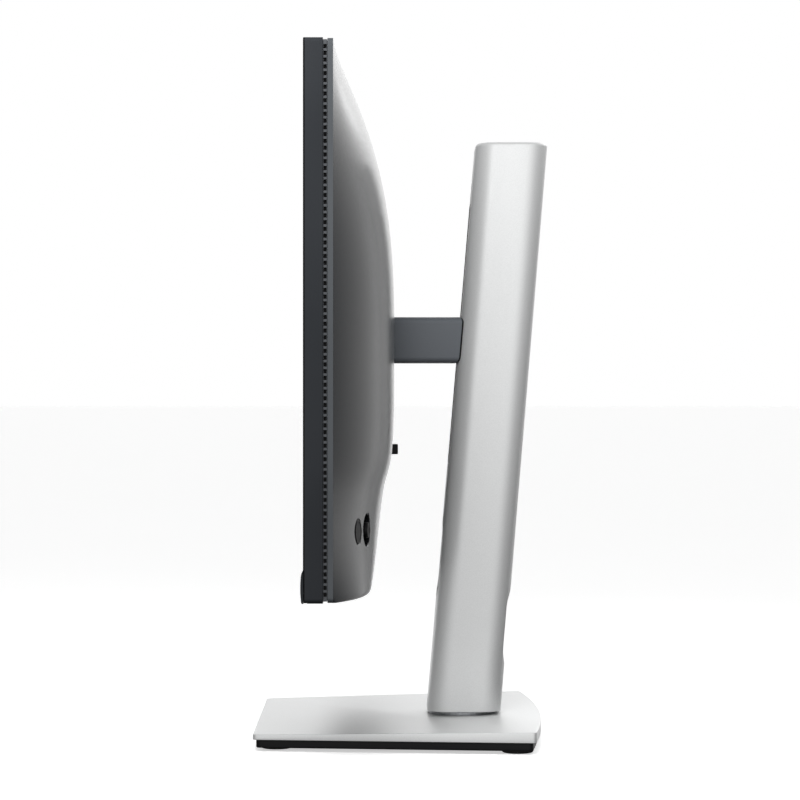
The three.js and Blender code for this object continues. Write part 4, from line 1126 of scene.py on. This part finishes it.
def add_base():
    slope = (base_high.z - BASE_TOP_FRONT) / (base_high.y - base_low.y)
    bottom = base_low.z
    edge_low, edge_high = BASE_EDGE
    rings = []
    outline = base_outline()
    for i in range(EDGE_STEPS + 1):
        angle = math.pi / 2 * i / EDGE_STEPS
        lift, step = edge_low * (1 - math.cos(angle)), edge_low * (1 - math.sin(angle))
        rings.append([(x, y, bottom + lift) for x, y in inset(outline, step)])
    for i in range(EDGE_STEPS + 1):
        angle = math.pi / 2 * (1 - i / EDGE_STEPS)
        lift, step = edge_high * (1 - math.cos(angle)), edge_high * (1 - math.sin(angle))
        ring = inset(outline, step)
        rings.append([(x, y, BASE_TOP_FRONT + slope * (y - base_low.y) - lift) for x, y in ring])
    plate = mesh_object(rings)
    race_low, race_high = corners("swivel_race")
    middle = (0, (race_low.y + race_high.y) / 2)
    pocket = drum(race_high.x + 0.4, RACE_FLOOR, 20, middle, 64)
    cut(plate, pocket, drum(BORE_RADIUS, 0, 12, middle, 48))
    piece("base_wedge", plate, SILVER, "base", ["base_plate"])

    tray = prism(base_outline(TRAY_INSET), "z", underside_low.z, underside_high.z, 0.8, 0.1)
    screw_bores = [turned(SCREW_BORE, "z", place, 24) for place in SCREW_PLACES]
    cut(tray, drum(WELL_RADIUS, 0, 10, middle, 56), *screw_bores)
    piece("base_tray", tray, BLACK_PLASTIC, "base", ["base_underside"])

    for name in ("foot_front_left", "foot_front_right", "foot_rear_left", "foot_rear_right"):
        low, high = corners(name)
        radius = (high.x - low.x) / 2
        middle_of_foot = ((low.x + high.x) / 2, (low.y + high.y) / 2)
        profile = [(0, 0), (radius - 1.6, 0), (radius - 0.9, 0.18), (radius - 0.2, 0.8), (radius, 1.5)]
        profile += [(radius, high.z), (0, high.z)]
        foot = turned(profile, "z", middle_of_foot, 48)
        piece(name.replace("foot", "rubber_foot"), foot, RUBBER, "base", [name])


# ---- Pieces that keep their CAD shape ----
KEPT = {
    "steel": STEEL,
    "spring_steel": SPRING_STEEL,
    "nylon": NYLON,
    "circuit_board": BOARD,
    "optical_plastic": OPTICAL_PLASTIC,
    "black_plastic": BLACK_PLASTIC,
}
KEPT_EDGE = 0.3


def dress_kept_nodes():
    """Gives each CAD node that still shows its material, and rounds its edges."""
    slots = {row["node"]: row["material_slot"] for row in frame["record"]["subparts"]}
    for name, node in frame["nodes"].items():
        if node.hide_render:
            continue
        node.data.materials.clear()
        node.data.materials.append(KEPT[slots[name]])
        modifier = node.modifiers.new("edges", "BEVEL")
        modifier.width = KEPT_EDGE * METRES
        modifier.segments = 2
        modifier.limit_method = "ANGLE"
        modifier.angle_limit = math.radians(40)


# ---- Stage ----
WORLD_DIM = 0.2  # towards the front and the back
WORLD_BRIGHT = 1.25  # towards the left and the right
WORLD_FAR_SIDE = 0.4  # added towards the far left
WORLD_LOW = 0.35
WORLD_HIGH = 1.0
SIDE_RANGE = (0.5, 0.98)  # of |X|, from dim to bright
FAR_SIDE_RANGE = (-0.8, -0.98)  # of X
RISE_RANGE = (-0.45, 0.1)  # of Z, from low to high
FLOOR_GLOW = 0.55
FLOOR_REACH = 30.0  # metres


def pale_floor():
    look = Look("pale_floor", 0.8, Emission_Color=(1, 1, 1, 1), Emission_Strength=FLOOR_GLOW)
    look.colour(look.noise(3), (0.92, 0.92, 0.92, 1), (0.94, 0.94, 0.94, 1))
    return look.material


def add_floor():
    data = bpy.data.meshes.new("floor")
    square = [(x * FLOOR_REACH, y * FLOOR_REACH, 0) for x, y in ((-1, -1), (1, -1), (1, 1), (-1, 1))]
    data.from_pydata(square, [], [(0, 1, 2, 3)])
    floor = bpy.data.objects.new("floor", data)
    floor.data.materials.append(pale_floor())
    floor.visible_diffuse = False
    floor.visible_glossy = False
    bpy.context.scene.collection.objects.link(floor)


def add_light(name, place, target, size, power, glossy=True):
    data = bpy.data.lights.new(name, "AREA")
    data.shape = "RECTANGLE"
    data.size, data.size_y = size
    data.energy = power
    light = bpy.data.objects.new(name, data)
    light.location = place
    light.rotation_euler = (Vector(target) - Vector(place)).to_track_quat("-Z", "Y").to_euler()
    light.visible_camera = False
    light.visible_glossy = glossy
    bpy.context.scene.collection.objects.link(light)


def add_world():
    """Soft light: bright to the left and right of the object, dim before, behind and below it."""
    world = bpy.data.worlds.new("studio")
    bpy.context.scene.world = world
    world.use_nodes = True
    nodes, links = world.node_tree.nodes, world.node_tree.links
    nodes.clear()

    def node(kind, **values):
        made = nodes.new(kind)
        for socket, value in values.items():
            made.inputs[socket.replace("_", " ")].default_value = value
        return made

    def reach(source, span, start, end):
        made = node("ShaderNodeMapRange", From_Min=span[0], From_Max=span[1], To_Min=start, To_Max=end)
        links.new(source, made.inputs["Value"])
        return made.outputs["Result"]

    def combine(operation, *sources):
        made = node("ShaderNodeMath")
        made.operation = operation
        for i, source in enumerate(sources):
            links.new(source, made.inputs[i])
        return made.outputs["Value"]

    direction = node("ShaderNodeTexCoord")
    parts = node("ShaderNodeSeparateXYZ")
    links.new(direction.outputs["Generated"], parts.inputs["Vector"])
    sides = reach(combine("ABSOLUTE", parts.outputs["X"]), SIDE_RANGE, WORLD_DIM, WORLD_BRIGHT)
    rise = reach(parts.outputs["Z"], RISE_RANGE, WORLD_LOW, WORLD_HIGH)
    far_side = reach(parts.outputs["X"], FAR_SIDE_RANGE, 0.0, WORLD_FAR_SIDE)
    strength = combine("ADD", combine("MULTIPLY", sides, rise), far_side)
    lighting = node("ShaderNodeBackground", Color=(1, 1, 1, 1))
    links.new(strength, lighting.inputs["Strength"])
    seen = node("ShaderNodeBackground", Color=(1, 1, 1, 1), Strength=1.0)
    path = node("ShaderNodeLightPath")
    mix = node("ShaderNodeMixShader")
    links.new(path.outputs["Is Camera Ray"], mix.inputs["Fac"])
    links.new(lighting.outputs["Background"], mix.inputs[1])
    links.new(seen.outputs["Background"], mix.inputs[2])
    out = node("ShaderNodeOutputWorld")
    links.new(mix.outputs["Shader"], out.inputs["Surface"])


def add_studio():
    bpy.context.scene.view_settings.view_transform = "Standard"
    add_floor()
    add_world()
    add_light("key", (0.75, -0.1, 0.75), (0.15, 0.0, 0.25), (0.4, 0.4), 8, glossy=False)
    add_light("back_box", (-0.45, 0.5, 0.8), (0.1, 0.0, 0.35), (0.8, 0.6), 2.6)


add_frame()
add_vent_slots()
add_chin()
add_screen()
add_cover()
add_mount_plate()
add_power_inlet()
add_signal_sockets()
add_usb_pair()
add_controls()
add_column()
add_arm()
add_base()
dress_kept_nodes()
add_studio()
